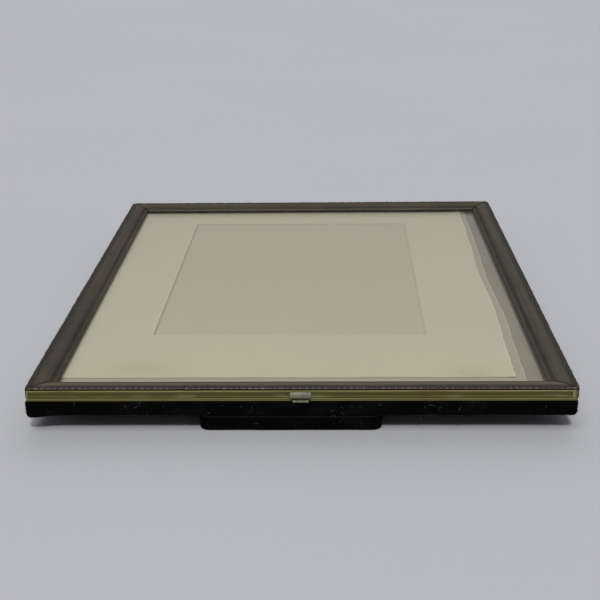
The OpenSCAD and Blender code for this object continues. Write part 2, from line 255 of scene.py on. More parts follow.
@dataclass(frozen=True)
class AgedBronze(Finish):
    """Stamped metal with a dark bronze coat, worn on its ridges, grimy in its grooves and painted with shade
    in its hollows and under its edges.
    """

    coat: Colour = (0.053, 0.048, 0.037)
    brown: Colour = (0.082, 0.059, 0.043)
    olive: Colour = (0.071, 0.070, 0.040)
    stamping: Colour = (0.044, 0.034, 0.032)
    smooth: Colour = (0.165, 0.140, 0.088)
    worn: Colour = (0.27, 0.245, 0.20)
    # Near-black colour for grime and for painted shade.
    grime: Colour = (0.010, 0.008, 0.006)

    def sockets(self, web: Web) -> dict:
        """Mottled coat, grime and painted shade below, wear above, darker where it is stamped."""
        patches = web.noise(web.place(), 55.0, 4.0)
        clouds = web.noise(web.place(), 21.0, 3.0)
        streaks = web.noise(web.place((11, 800, 1), along=True), 1.0, 4.0)
        fine = web.noise(web.place(), 900.0, 5.0, 0.7)
        crackle = web.noise(web.place(), 1500.0, 3.0, 0.8)
        chips = web.noise(web.place(), 420.0, 4.0, 0.75)
        relief, stamped = web.mark("relief"), web.mark("stamped")
        coat = web.mix(patches.band(0.38, 0.66), self.coat, self.brown)
        coat = web.mix(clouds.band(0.5, 0.66) * 0.6, coat, self.olive)
        coat = web.mix(stamped * 0.75, coat, self.stamping)
        # The smooth band's lighter colour, set per side in the mesh, is partly painted light.
        coat = web.mix(web.mark("smooth") * (streaks.band(0.35, 0.65) * 0.5 + 0.5), coat, self.smooth)
        # Painted shade, with grime, in the mitre seams.
        coat = web.mix(web.mark("gap"), coat, self.grime)
        coat = web.mix(streaks.band(0.56, 0.8) * (1.0 - stamped) * 0.35, coat, self.worn)
        rubbed = (relief * 0.6 + fine * 0.7).band(0.86, 1.08) * patches.band(0.42, 0.62)
        chipped = chips.band(0.61, 0.68) * (0.2 + stamped * 0.6)
        wear = rubbed * 0.5 + chipped * 0.7
        # Low relief darkens the coat: grime in the grooves, and painted shade in the hollows, under the outer
        # edge and on the inner face.
        grime = (1.0 - relief).band(0.5, 0.9) + crackle.band(0.5, 0.62) * stamped * 0.5
        colour = web.mix(wear, web.mix(grime * 0.75, coat, self.grime), self.worn)
        return {
            "Base Color": colour,
            "Metallic": 0.35,
            "Roughness": 0.46 + grime * 0.22 + fine * 0.12,
            "Specular IOR Level": 0.35,
            "Normal": web.bump(fine * 0.5 + streaks * 0.3 + crackle * stamped * 0.9, 0.5, 0.00010),
        }


@dataclass(frozen=True)
class DrawnBrass(Finish):
    """Olive brass with soft lines along its length, painted bright as highlight on its raised faces and dark
    as shade elsewhere.
    """

    # A lit and a shaded copy of one brass: painted highlight and painted shade.
    bright: Colour = (0.30, 0.270, 0.105)
    dull: Colour = (0.074, 0.058, 0.008)
    stain: Colour = (0.12, 0.080, 0.025)
    green: Colour = (0.135, 0.155, 0.065)

    def sockets(self, web: Web) -> dict:
        """Lines along the length, painted highlight and shade from the mesh's mark, brown stains and green
        bloom.
        """
        lines = web.noise(web.place((14, 2600, 1), along=True), 1.0, 3.0)
        patches = web.noise(web.place(), 38.0, 3.0)
        bloom = web.noise(web.place((1.0, 1.0, 2.5)), 90.0, 4.0)
        fine = web.noise(web.place(), 1500.0, 3.0, 0.7)
        relief = web.mark("relief")
        # Mostly painted highlight and shade from the mesh's mark; a little from the drawn lines.
        lit = lines.band(0.42, 0.72) * 0.16 + relief.band(0.30, 0.85) * 0.84
        colour = web.mix(lit, self.dull, self.bright)
        colour = web.mix(patches.band(0.5, 0.72) * 0.5, colour, self.stain)
        colour = web.mix(bloom.band(0.52, 0.7) * 0.55, colour, self.green)
        return {
            "Base Color": colour,
            "Metallic": 0.35,
            "Specular IOR Level": 0.35,
            "Roughness": 0.42 + patches * 0.16 + fine * 0.06,
            "Normal": web.bump(lines * 0.8 + fine * 0.2, 0.3, 0.00005),
        }


@dataclass(frozen=True)
class PlainMetal(Finish):
    """A plated small part, brushed and a little tarnished."""

    colour: Colour = (0.32, 0.31, 0.28)
    tarnish: Colour = (0.12, 0.10, 0.075)
    metallic: float = 0.85
    roughness: float = 0.32
    grime: Colour = (0.020, 0.020, 0.010)

    def sockets(self, web: Web) -> dict:
        """Brushed plating with tarnish in patches, and grime with painted shade where it is marked."""
        brushed = web.noise(web.place((1, 14, 14)), 420.0, 3.0)
        patches = web.noise(web.place(), 240.0, 4.0)
        colour = web.mix(patches.band(0.48, 0.75) * 0.55, self.colour, self.tarnish)
        return {
            "Base Color": web.mix(web.mark("grimy"), colour, self.grime),
            "Metallic": self.metallic,
            "Roughness": self.roughness + patches * 0.22,
            "Normal": web.bump(brushed, 0.25, 0.00003),
        }


@dataclass(frozen=True)
class Velvet(Finish):
    """Short black pile with brushed patches and dust."""

    pile: Colour = (0.0018, 0.0018, 0.0022)
    brushed: Colour = (0.0055, 0.0052, 0.0058)
    dust: Colour = (0.10, 0.10, 0.105)

    def sockets(self, web: Web) -> dict:
        """Brushed patches, fine dust and a rough pile."""
        nap = web.noise(web.place(), 70.0, 4.0, 0.6)
        pile = web.noise(web.place(), 2600.0, 2.0, 0.7)
        thread = web.noise(web.place((1, 1, 3)), 520.0, 3.0, 0.65)
        dust = web.speck(web.place(), 900.0, 0.16) * nap.band(0.45, 0.62)
        colour = web.mix(nap.band(0.42, 0.72), self.pile, self.brushed)
        return {
            "Base Color": web.mix(dust * 0.55, colour, self.dust),
            "Roughness": 0.95,
            "Specular IOR Level": 0.03,
            "Sheen Weight": 0.01,
            "Sheen Roughness": 0.35,
            "Sheen Tint": (0.55, 0.56, 0.6, 1.0),
            "Normal": web.bump(pile * 0.5 + thread * 0.5, 0.8, 0.00018),
        }


@dataclass(frozen=True)
class Plain(Finish):
    """One even colour, for things too fine to vary, such as single fibres."""

    colour: Colour = (0.01, 0.01, 0.012)
    roughness: float = 0.9

    def sockets(self, web: Web) -> dict:
        """The colour and roughness as they are."""
        return {"Base Color": self.colour, "Roughness": self.roughness, "Specular IOR Level": 0.2}


@dataclass(frozen=True)
class Card(Finish):
    """Matt card with fine fibres, faint foxing, a pressed panel with a painted shade line round it, and a
    worn edge painted with highlight.
    """

    face: Colour = (0.635, 0.565, 0.430)
    panel: Colour = (0.58, 0.505, 0.380)
    foxed: Colour = (0.45, 0.36, 0.22)
    # line: painted shade along the pressed panel's step, also used for a scratch; edge: painted highlight on
    # torn edges and the panel's ridge.
    line: Colour = (0.30, 0.27, 0.20)
    edge: Colour = (0.78, 0.73, 0.57)
    cool: Colour = (0.53, 0.525, 0.42)

    def sockets(self, web: Web) -> dict:
        """Fibres, clouds, foxing, the panel's tint, the painted shade line and a scratch, and the painted
        highlight on the edge.
        """
        clouds = web.noise(web.place(), 9.0, 4.0)
        fibres = web.noise(web.place((1, 3, 1)), 1100.0, 4.0, 0.7)
        spots = web.speck(web.place(), 60.0, 0.13) * clouds.band(0.5, 0.68)
        colour = web.mix(web.mark("panel"), self.face, self.panel)
        colour = web.mix(clouds.band(0.35, 0.8) * 0.2, colour, self.cool)
        colour = web.mix(fibres.band(0.45, 0.8) * 0.10, colour, self.foxed)
        colour = web.mix(spots * 0.22, colour, self.foxed)
        colour = web.mix(web.mark("smudge") * 0.30, colour, self.foxed)
        colour = web.mix(web.mark("edge"), colour, self.edge)
        colour = web.mix(web.mark("line"), colour, self.line)
        return {
            "Base Color": colour,
            "Roughness": 0.82 + fibres * 0.1,
            "Specular IOR Level": 0.25,
            "Normal": web.bump(fibres, 0.25, 0.00005),
        }


@dataclass(frozen=True)
class PulpBoard(Finish):
    """Grey pulp board with a felted, mottled face."""

    base: Colour = (0.30, 0.250, 0.200)
    pale: Colour = (0.34, 0.287, 0.235)
    dark: Colour = (0.21, 0.175, 0.140)

    def sockets(self, web: Web) -> dict:
        """Felted mottling and short fibres."""
        clouds = web.noise(web.place(), 26.0, 5.0)
        flecks = web.noise(web.place((1, 2, 1)), 700.0, 4.0, 0.75)
        colour = web.mix(clouds.band(0.3, 0.7), self.base, self.pale)
        return {
            "Base Color": web.mix(flecks.band(0.5, 0.8) * 0.35, colour, self.dark),
            "Roughness": 0.92,
            "Specular IOR Level": 0.15,
            "Normal": web.bump(flecks, 0.4, 0.0001),
        }


@dataclass(frozen=True)
class BareWood(Finish):
    """Unfinished softwood with its grain along Y."""

    early: Colour = (0.46, 0.32, 0.18)
    late: Colour = (0.27, 0.16, 0.08)

    def sockets(self, web: Web) -> dict:
        """Grain lines with a soft wander."""
        rings = web.noise(web.place((14, 0.9, 14)), 22.0, 3.0)
        pores = web.noise(web.place((1, 0.06, 1)), 2400.0, 2.0)
        grain = web.node("ShaderNodeMath", {"operation": "FRACT"}, {0: rings * 9.0})
        return {
            "Base Color": web.mix(grain.band(0.25, 0.95) * 0.7 + pores * 0.15, self.early, self.late),
            "Roughness": 0.72 + pores * 0.15,
            "Specular IOR Level": 0.3,
            "Normal": web.bump(pores * 0.6 + grain * 0.4, 0.3, 0.0001),
        }


@dataclass(frozen=True)
class LiningCloth(Finish):
    """Thin glued cloth in a plain weave."""

    thread: Colour = (0.030, 0.027, 0.030)
    gap: Colour = (0.008, 0.007, 0.008)
    threads_a_metre: float = 2600.0

    def sockets(self, web: Web) -> dict:
        """Two crossed sets of threads."""
        settings = {"wave_type": "BANDS", "bands_direction": "X"}
        crossed = [
            web.node("ShaderNodeTexWave", {**settings, "bands_direction": axis},
                     {"Vector": web.place(), "Scale": self.threads_a_metre / 20, "Distortion": 0.3})
            for axis in ("X", "Y")
        ]
        weave = crossed[0] * crossed[1]
        worn = web.noise(web.place(), 60.0, 4.0)
        return {
            "Base Color": web.mix(weave * 0.7 + worn * 0.3, self.gap, self.thread),
            "Roughness": 0.9,
            "Specular IOR Level": 0.15,
            "Sheen Weight": 0.15,
            "Normal": web.bump(weave, 0.5, 0.00012),
        }


@dataclass(frozen=True)
class PictureGlass(Finish):
    """Clear flat glass: what is behind shows, and more gloss the lower it is seen."""

    tint: Colour = (0.975, 0.985, 0.970)
    straight_on: float = 0.04

    def build(self, web: Web) -> None:
        """Mixes see-through and gloss by the angle of view."""
        facing = web.node("ShaderNodeLayerWeight", None, {"Blend": 0.5}, out="Facing")
        gloss_share = facing ** 5.0 * (1.0 - self.straight_on) + self.straight_on
        smears = web.noise(web.place((1, 2.5, 1)), 18.0, 4.0)
        ripple = web.noise(web.place(), 14.0, 1.0)
        gloss = web.node("ShaderNodeBsdfPrincipled", None, {
            "Base Color": (1.0, 1.0, 1.0, 1.0),
            "Metallic": 1.0,
            "Roughness": 0.02 + smears.band(0.5, 0.8) * 0.10,
            "Normal": web.bump(ripple, 0.08, 0.001),
        })
        clear = web.node("ShaderNodeBsdfTransparent", None, {"Color": (*self.tint, 1.0)})
        both = web.node("ShaderNodeMixShader", None, {0: gloss_share, 1: clear, 2: gloss})
        web.node("ShaderNodeOutputMaterial", None, {"Surface": both})


@dataclass(frozen=True)
class PaleFloor(Finish):
    """The plain surface that the object lies on."""

    colour: Colour = (0.520, 0.525, 0.555)

    def sockets(self, web: Web) -> dict:
        """An almost even matt colour."""
        clouds = web.noise(web.place(), 3.0, 2.0)
        near = tuple(0.96 * c for c in self.colour)
        return {
            "Base Color": web.mix(clouds, self.colour, near),
            "Roughness": 0.8,
            "Specular IOR Level": 0.2,
        }


BRONZE = AgedBronze("aged_bronze", "bezel_bronze")
# A lighter copy of the bronze for the beads: wear on their tops, with painted highlight where they catch the
# light.
BEAD_BRONZE = AgedBronze(
    "worn_bronze", "bezel_bronze", coat=(0.13, 0.11, 0.095), brown=(0.17, 0.135, 0.115),
    olive=(0.11, 0.10, 0.075), stamping=(0.030, 0.027, 0.024), worn=(0.36, 0.33, 0.28),
)
BRASS = DrawnBrass("drawn_brass", "brass_band")
NICKEL = PlainMetal("worn_nickel", "catch_nickel", (0.22, 0.21, 0.15), (0.11, 0.10, 0.06), 0.4, 0.5)
STEEL = PlainMetal("dull_steel", "hinge_steel")
VELVET = Velvet("black_velvet", "velvet")
PILE = Plain("velvet_fibre", "velvet", (0.0022, 0.0022, 0.0026))
LINT = Plain("pale_lint", "velvet", (0.15, 0.15, 0.155))
MOUNT_CARD = Card("cream_card", "mount_card")
# The under sheet is coloured darker than the mount: partly its own tone, partly painted shade beside the
# mount.
UNDER_CARD = Card("aged_card", "under_card", face=(0.44, 0.375, 0.295), edge=(0.56, 0.50, 0.39))
PAD = PulpBoard("pulp_board", "pad_board")
WOOD = BareWood("bare_wood", "wood")
LINING = LiningCloth("woven_lining", "lining_cloth")
GLASS = PictureGlass("picture_glass", "glass")


# ---- Shapes ----


class Side(Enum):
    """A side of the frame; its value is its quarter turns from the catch edge."""

    BOTTOM = 0
    RIGHT = 1
    TOP = 2
    LEFT = 3

    @property
    def word(self) -> str:
        """The side's name in a node."""
        return self.name.lower()


@dataclass(frozen=True)
class Plan:
    """The frame's outer rectangle, in millimetres."""

    width: float
    length: float
    middle_y: float

    @classmethod
    def of_back(cls) -> "Plan":
        """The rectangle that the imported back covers."""
        low, high = (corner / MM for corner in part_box("back_velvet"))
        return cls(high.x - low.x, high.y - low.y, (high.y + low.y) / 2)

    def span(self, side: Side) -> float:
        """The side's length."""
        return self.length if side.value % 2 else self.width

    def on_side(self, side: Side, points: np.ndarray) -> np.ndarray:
        """Puts points on a side.

        Args:
            side: the side.
            points: (..., 3) as along, inwards and up, in millimetres.

        Returns:
            The same points in metres, in place.
        """
        reach = (self.width if side.value % 2 else self.length) / 2
        along, out, up = points[..., 0], points[..., 1] - reach, points[..., 2]
        c, s = ((1, 0), (0, 1), (-1, 0), (0, -1))[side.value]
        placed = [c * along - s * out, s * along + c * out + self.middle_y, up]
        return np.stack(np.broadcast_arrays(*placed), axis=-1) * MM


PLAN = Plan.of_back()


def wander(t: np.ndarray, seed: int, wave: float, size: float, octaves: int = 3) -> np.ndarray:
    """Smooth random offsets.

    Args:
        t: places along a line, in millimetres.
        seed: its own number.
        wave: the longest wave, in millimetres.
        size: the largest offset.
        octaves: how many finer waves are added.

    Returns:
        One offset for each place.
    """
    dice = np.random.default_rng(seed)
    total = np.zeros_like(t, dtype=float)
    for k in range(octaves):
        for _ in range(3):
            turn, stretch = dice.uniform(0, 2 * math.pi), dice.uniform(0.7, 1.4)
            total += np.sin(t * 2 * math.pi * 2**k * stretch / wave + turn) / 3 / 1.8**k
    return total * size


def dome(distance: np.ndarray, reach: float) -> np.ndarray:
    """A smooth bump, 1 at no distance and near 0 past its reach."""
    return np.exp(-((distance / reach) ** 2) * 2)


def eased(knots: Sequence[Sequence[float]], rounds: int = 2, share: float = 0.25) -> np.ndarray:
    """Rounds off a closed outline.

    Args:
        knots: its corners, with any values that they carry.
        rounds: how many times every corner is cut.
        share: how much of each edge a cut takes.

    Returns:
        The rounded outline.
    """
    line = np.array(knots, dtype=float)
    for _ in range(rounds):
        after = np.roll(line, -1, axis=0)
        cut = np.stack([line * (1 - share) + after * share, line * share + after * (1 - share)], axis=1)
        line = cut.reshape(-1, line.shape[1])
    return line


def rounded_ring(corners: Sequence[Sequence[float]], radius: float, step: float) -> np.ndarray:
    """A closed outline with rounded corners and about even steps.

    Args:
        corners: the outline's corners, anticlockwise.
        radius: the corners' radius.
        step: the distance between points.

    Returns:
        (n, 4): the points, and their outward directions.
    """
    arcs: list[list[list[float]]] = []
    count = len(corners)
    for i in range(count):
        here = Vector(corners[i])
        before = (Vector(corners[i - 1]) - here).normalized()
        after = (Vector(corners[(i + 1) % count]) - here).normalized()
        half = math.acos(max(-1, min(1, before.dot(after)))) / 2
        centre = here + (before + after).normalized() * radius / math.sin(half)
        first = Vector((-before.y, before.x))
        arc = []
        for k in range(9):
            a = (math.pi - 2 * half) * k / 8
            c, s = math.cos(a), math.sin(a)
            out = Vector((first.x * c - first.y * s, first.x * s + first.y * c))
            arc.append([*(centre + out * radius), *out])
        arcs.append(arc)
    ring: list[list[float]] = []
    for arc, following in zip(arcs, arcs[1:] + arcs[:1]):
        ring += arc
        last, there = Vector(arc[-1][:2]), Vector(following[0][:2])
        steps = max(2, round((there - last).length / step))
        ring += [[*last.lerp(there, k / steps), *arc[-1][2:]] for k in range(1, steps)]
    return np.array(ring)


class Form:
    """A mesh while it is being made: points in metres, faces and the values that they carry."""

    def __init__(self) -> None:
        """Starts empty."""
        self.points: list[np.ndarray] = []
        self.maps: list[np.ndarray] = []
        self.faces: list[tuple[int, ...]] = []
        self.marks: dict[str, list[np.ndarray]] = {}
        self.count = 0

    def add(self, points: np.ndarray, faces: Iterable[Sequence[int]], mapped: np.ndarray | None = None,
            **marks: np.ndarray) -> "Form":
        """Adds points and faces.

        Args:
            points: (n, 3) in metres.
            faces: numbers of the points that each face joins.
            mapped: (n, 2) places on the piece's own map.
            marks: named values, n each.

        Returns:
            The form.
        """
        count = len(points)
        self.faces += [tuple(int(i) + self.count for i in face) for face in faces]
        self.points.append(points)
        self.maps.append(mapped if mapped is not None else points[:, :2])
        for name in {*self.marks, *marks}:
            known = self.marks.setdefault(name, [np.zeros(self.count)])
            known.append(marks.get(name, np.zeros(count)))
        self.count += count
        return self

    def rings(self, rings: np.ndarray, mapped: np.ndarray | None = None, **marks: np.ndarray) -> "Form":
        """Joins closed rings one after the other and closes both ends.

        Args:
            rings: (rings, points, 3) in metres.
            mapped: (rings, points, 2).
            marks: named values, (rings, points) each.

        Returns:
            The form.
        """
        n, m = rings.shape[:2]
        i, j = (grid.ravel() for grid in np.meshgrid(np.arange(n - 1), np.arange(m), indexing="ij"))
        k = (j + 1) % m
        sides = np.stack([i * m + j, i * m + k, (i + 1) * m + k, (i + 1) * m + j], axis=1)
        ends = [tuple(range(m))[::-1], tuple(range((n - 1) * m, n * m))]
        flat = {name: np.broadcast_to(value, (n, m)).reshape(-1) for name, value in marks.items()}
        spread = None if mapped is None else mapped.reshape(-1, 2)
        return self.add(rings.reshape(-1, 3), [*sides, *ends], spread, **flat)

    def leaf(self, top: np.ndarray, thick: float, **marks: np.ndarray) -> "Form":
        """A closed thin sheet under a grid.

        Args:
            top: (rows, columns, 3) in metres.
            thick: its thickness in metres.
            marks: named values, (rows, columns) each.

        Returns:
            The form.
        """
        n, m = top.shape[:2]
        under = top - np.array([0, 0, thick])
        i, j = (grid.ravel() for grid in np.meshgrid(np.arange(n - 1), np.arange(m - 1), indexing="ij"))
        over = np.stack([i * m + j, (i + 1) * m + j, (i + 1) * m + j + 1, i * m + j + 1], axis=1)
        edge = [*range(m), *(r * m + m - 1 for r in range(1, n)),
                *((n - 1) * m + c for c in range(m - 2, -1, -1)), *(r * m for r in range(n - 2, 0, -1))]
        wall = [(a, b, b + n * m, a + n * m) for a, b in zip(edge, edge[1:] + edge[:1])]
        flat = {name: np.tile(value.reshape(-1), 2) for name, value in marks.items()}
        both = np.concatenate([top.reshape(-1, 3), under.reshape(-1, 3)])
        return self.add(both, [*over, *(over + n * m)[:, ::-1], *wall], None, **flat)

    def mesh(self, name: str, smooth: float = 38.0) -> bpy.types.Mesh:
        """Makes the mesh.

        Args:
            name: its name.
            smooth: faces that meet at less than this many degrees are smooth.

        Returns:
            The mesh, with its faces turned outwards.
        """
        made = bpy.data.meshes.new(name)
        made.from_pydata(np.concatenate(self.points).tolist(), [], self.faces)
        places = np.concatenate(self.maps)
        corners = np.array([loop.vertex_index for loop in made.loops])
        made.uv_layers.new(name="along").data.foreach_set("uv", places[corners].ravel())
        for mark, parts in self.marks.items():
            values = np.concatenate(parts)
            made.attributes.new(mark, "FLOAT", "POINT").data.foreach_set("value", values)
        work = bmesh.new()
        work.from_mesh(made)
        bmesh.ops.recalc_face_normals(work, faces=work.faces)
        work.to_mesh(made)
        work.free()
        made.shade_smooth()
        made.set_sharp_from_angle(angle=math.radians(smooth))
        return made


def block(low: Vector, high: Vector, ease: float, steps: int = 2) -> bmesh.types.BMesh:
    """A block with eased edges.

    Args:
        low: its lowest corner, in metres.
        high: its highest corner.
        ease: how wide its edges are rounded.
        steps: how many faces round an edge.

    Returns:
        The block, to be turned into a mesh.
    """
    work = bmesh.new()
    bmesh.ops.create_cube(work, size=1.0)
    size = Vector(high) - Vector(low)
    bmesh.ops.scale(work, vec=size, verts=work.verts)
    bmesh.ops.translate(work, vec=(Vector(low) + Vector(high)) / 2, verts=work.verts)
    bmesh.ops.bevel(work, geom=work.edges[:], offset=ease, segments=steps, profile=0.5, affect="EDGES")
    return work


def show(name: str, mesh: bpy.types.Mesh, finish: Finish, body: str, *nodes: str) -> bpy.types.Object:
    """Puts a made piece in the scene.

    Args:
        name: the piece's name.
        mesh: its mesh, in place.
        finish: its finish.
        body: the body that it moves with.
        nodes: the CAD nodes that it stands for.

    Returns:
        The object.
    """
    piece = bpy.data.objects.new(name, mesh)
    bpy.context.scene.collection.objects.link(piece)
    mesh.materials.clear()
    mesh.materials.append(finish.material())
    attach(piece, body)
    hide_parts(*nodes)
    LOG.info("%s: %d faces on %s", name, len(mesh.polygons), body)
    return piece


def dress(node: str, finish: Finish, ease: float = 0.0) -> None:
    """Gives a CAD piece that keeps its shape its finish.

    Args:
        node: its name.
        finish: its finish.
        ease: how wide its edges are rounded, in millimetres.
    """
    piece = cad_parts[node]
    piece.data.materials.clear()
    piece.data.materials.append(finish.material())
    if ease:
        soften = piece.modifiers.new("eased_edges", "BEVEL")
        soften.width = ease * MM
        soften.segments = 2
        soften.limit_method = "ANGLE"
        soften.angle_limit = math.radians(40)
    LOG.info("%s: dressed in %s", node, finish.name)


# ---- Patterns ----


class Pattern:
    """A Geometry Nodes tree that sets copies of a shape on a piece of geometry."""

    SOCKETS = {
        float: "NodeSocketFloat", int: "NodeSocketInt", tuple: "NodeSocketVector",
        bpy.types.Object: "NodeSocketObject", bpy.types.Material: "NodeSocketMaterial",
    }

    def __init__(self, name: str, inputs: dict[str, type]) -> None:
        """Makes the tree.

        Args:
            name: the tree's name.
            inputs: its named inputs beside Geometry, and what each one holds.
        """
        self.tree = bpy.data.node_groups.new(name, "GeometryNodeTree")
        face = self.tree.interface
        face.new_socket("Geometry", in_out="INPUT", socket_type="NodeSocketGeometry")
        face.new_socket("Geometry", in_out="OUTPUT", socket_type="NodeSocketGeometry")
        for key, kind in inputs.items():
            face.new_socket(key, in_out="INPUT", socket_type=self.SOCKETS[kind])
        self.web = Web(self.tree)
        self.source = self.tree.nodes.new("NodeGroupInput")
        points, turned, shape = self.lay()
        self._finish(points, turned, shape)

    def given(self, name: str) -> Wire:
        """A named input."""
        return Wire(self.web, self.source.outputs[name])

    def lay(self) -> tuple[Wire, Wire, Wire]:
        """The points, how a copy is turned there, and the shape; each pattern has its own."""
        raise NotImplementedError

    def chance(self, low: float, high: float, seed: int) -> Wire:
        """A random value for each copy, from low to high."""
        values = {2: low, 3: high, "Seed": seed}
        return self.web.node("FunctionNodeRandomValue", {"data_type": "FLOAT"}, values, out=1)

    def _finish(self, points: Wire, turned: Wire, shape: Wire) -> None:
        """Sets the copies, makes them real and gives them their material."""
        vary = self.chance(-1.0, 1.0, 5)
        grow = vary * self.given("Unevenness") + 1.0
        size = self.web.node("ShaderNodeVectorMath", {"operation": "SCALE"},
                             {0: self.given("Size"), "Scale": grow})
        copies = self.web.node("GeometryNodeInstanceOnPoints", None, {
            "Points": points, "Instance": shape, "Rotation": turned, "Scale": size,
        })
        real = self.web.node("GeometryNodeRealizeInstances", None, {"Geometry": copies})
        done = self.web.node("GeometryNodeSetMaterial", None,
                             {"Geometry": real, "Material": self.given("Material")})
        self.web.node("NodeGroupOutput", None, {"Geometry": done})

    def run(self, base: bpy.types.Object, name: str, **values: "Value") -> bpy.types.Mesh:
        """Runs the tree on an object and removes that object.

        Args:
            base: what the copies are set on.
            name: the result's name.
            values: the inputs, with _ for a space.

        Returns:
            The plain mesh.
        """
        bpy.context.scene.collection.objects.link(base)
        modifier = base.modifiers.new("pattern", "NODES")
        modifier.node_group = self.tree
        for item in self.tree.interface.items_tree:
            if item.in_out == "INPUT" and item.name in values:
                modifier[item.identifier] = values[item.name]
        bpy.context.view_layer.update()
        ready = base.evaluated_get(bpy.context.evaluated_depsgraph_get())
        made = bpy.data.meshes.new_from_object(ready)
        made.name = name
        bpy.data.objects.remove(base)
        made.shade_smooth()
        return made


class BeadRow(Pattern):
    """Beads at even steps along lines."""

    def __init__(self) -> None:
        """Names the tree and its inputs."""
        super().__init__("bead_row", {
            "Spacing": float, "Size": tuple, "Unevenness": float, "Material": bpy.types.Material,
        })

    def lay(self) -> tuple[Wire, Wire, Wire]:
        """Points along each line, beads along its run."""
        line = self.web.node("GeometryNodeMeshToCurve", None, {"Mesh": self.given("Geometry")})
        even = self.web.node("GeometryNodeResampleCurve", {"mode": "LENGTH"},
                             {"Curve": line, "Length": self.given("Spacing")})
        run = self.web.node("GeometryNodeInputTangent")
        turned = self.web.node("FunctionNodeAlignRotationToVector", {"axis": "X"}, {"Vector": run})
        bead = self.web.node("GeometryNodeMeshIcoSphere", None, {"Radius": 1.0, "Subdivisions": 2})
        return even, turned, bead


class Fixings(Pattern):
    """A head on each point, all facing one way, each turned as it was last left."""

    def __init__(self) -> None:
        """Names the tree and its inputs."""
        super().__init__("fixings", {
            "Facing": tuple, "Head": bpy.types.Object, "Size": tuple, "Unevenness": float,
            "Material": bpy.types.Material,
        })

    def lay(self) -> tuple[Wire, Wire, Wire]:
        """The base's own points, heads facing the given way."""
        spots = self.web.node("GeometryNodeMeshToPoints", None, {"Mesh": self.given("Geometry")})
        facing = self.web.node("FunctionNodeEulerToRotation", None, {0: self.given("Facing")})
        spin = self.web.node("ShaderNodeCombineXYZ", None, {"Z": self.chance(0.0, 6.2, 3)})
        turned = self.web.node("FunctionNodeRotateRotation", {"rotation_space": "LOCAL"}, {
            0: facing, 1: self.web.node("FunctionNodeEulerToRotation", None, {0: spin}),
        })
        head = self.web.node("GeometryNodeObjectInfo", None, {"Object": self.given("Head")},
                             out="Geometry")
        return spots, turned, head


class Strewn(Pattern):
    """Copies scattered on faces, leaning at random, denser where the mesh says so."""

    def __init__(self) -> None:
        """Names the tree and its inputs."""
        super().__init__("strewn", {
            "Density": float, "Seed": int, "Lean": float, "Fibre": bpy.types.Object, "Size": tuple,
            "Unevenness": float, "Material": bpy.types.Material,
        })

    def lay(self) -> tuple[Wire, Wire, Wire]:
        """Random points on the faces, each leaning its own way."""
        share = self.web.node("GeometryNodeInputNamedAttribute", {"data_type": "FLOAT"},
                              {"Name": "shown"})
        spread = self.web.node("GeometryNodeDistributePointsOnFaces", {"distribute_method": "RANDOM"}, {
            "Mesh": self.given("Geometry"), "Seed": self.given("Seed"),
            "Density": share * self.given("Density"),
        })
        upright = Wire(self.web, spread.socket.node.outputs["Rotation"])
        lean = self.web.node("ShaderNodeCombineXYZ", None, {
            "X": self.chance(-1.0, 1.0, 7) * self.given("Lean"),
            "Y": self.chance(-1.0, 1.0, 8) * self.given("Lean"),
            "Z": self.chance(0.0, 6.2, 9),
        })
        turned = self.web.node("FunctionNodeRotateRotation", {"rotation_space": "LOCAL"}, {
            0: upright, 1: self.web.node("FunctionNodeEulerToRotation", None, {0: lean}),
        })
        fibre = self.web.node("GeometryNodeObjectInfo", None, {"Object": self.given("Fibre")},
                              out="Geometry")
        return spread, turned, fibre


def lines_object(lines: Sequence[np.ndarray]) -> bpy.types.Object:
    """An object of open lines, for a pattern to run on.

    Args:
        lines: (n, 3) points of each, in metres.

    Returns:
        The object, not yet in the scene.
    """
    points, edges = [], []
    for line in lines:
        start = len(points)
        points += line.tolist()
        edges += [(start + k, start + k + 1) for k in range(len(line) - 1)]
    mesh = bpy.data.meshes.new("lines")
    mesh.from_pydata(points, edges, [])
    return bpy.data.objects.new("lines", mesh)


def spun_head(sections: Sequence[Sequence[float]], slot: float = 0.0, around: int = 12) -> bpy.types.Object:
    """A small round head, one millimetre in radius, facing up.

    Args:
        sections: its (radius, height) rings from the base up, in millimetres.
        slot: how deep a driver's slot is cut, in millimetres; 0 for none.
        around: how many faces go round it.

    Returns:
        The head, not in the scene.
    """
    turn = np.arange(around) * 2 * math.pi / around
    rings = np.array([
        np.stack([r * np.cos(turn), r * np.sin(turn), np.full(around, h)], axis=-1)
        for r, h in sections
    ])
    if slot:
        across = np.abs(rings[..., 1]) < 0.3
        rings[..., 2] -= slot * across * (rings[..., 2] > sections[0][1] + slot)
    form = Form().rings(rings * MM)
    return bpy.data.objects.new("head", form.mesh("head", 50))


def fibre_object(length: float, thick: float, bend: float, steps: int) -> bpy.types.Object:
    """A bent fibre, for a pattern to strew.

    Args:
        length: its length in millimetres.
        thick: its thickness in millimetres.
        bend: how far it bends, as a part of a circle in radians.
        steps: how many straight parts it has.

    Returns:
        The fibre, not in the scene, rooted at the origin and standing up.
    """
    turn = np.linspace(0, bend, steps + 1)
    reach = length / max(bend, 1e-3)
    line = np.stack([reach * (1 - np.cos(turn)), 0 * turn, reach * np.sin(turn)], axis=-1)
    around = np.arange(3) * 2 * math.pi / 3
    taper = np.linspace(1.0, 0.25, steps + 1)[:, None] * thick / 2
    flat = np.stack([np.cos(around), np.sin(around), 0 * around], axis=-1)
    form = Form().rings((line[:, None, :] + flat[None] * taper[..., None]) * MM)
    return bpy.data.objects.new("fibre", form.mesh("fibre", 180))


# ---- The object ----


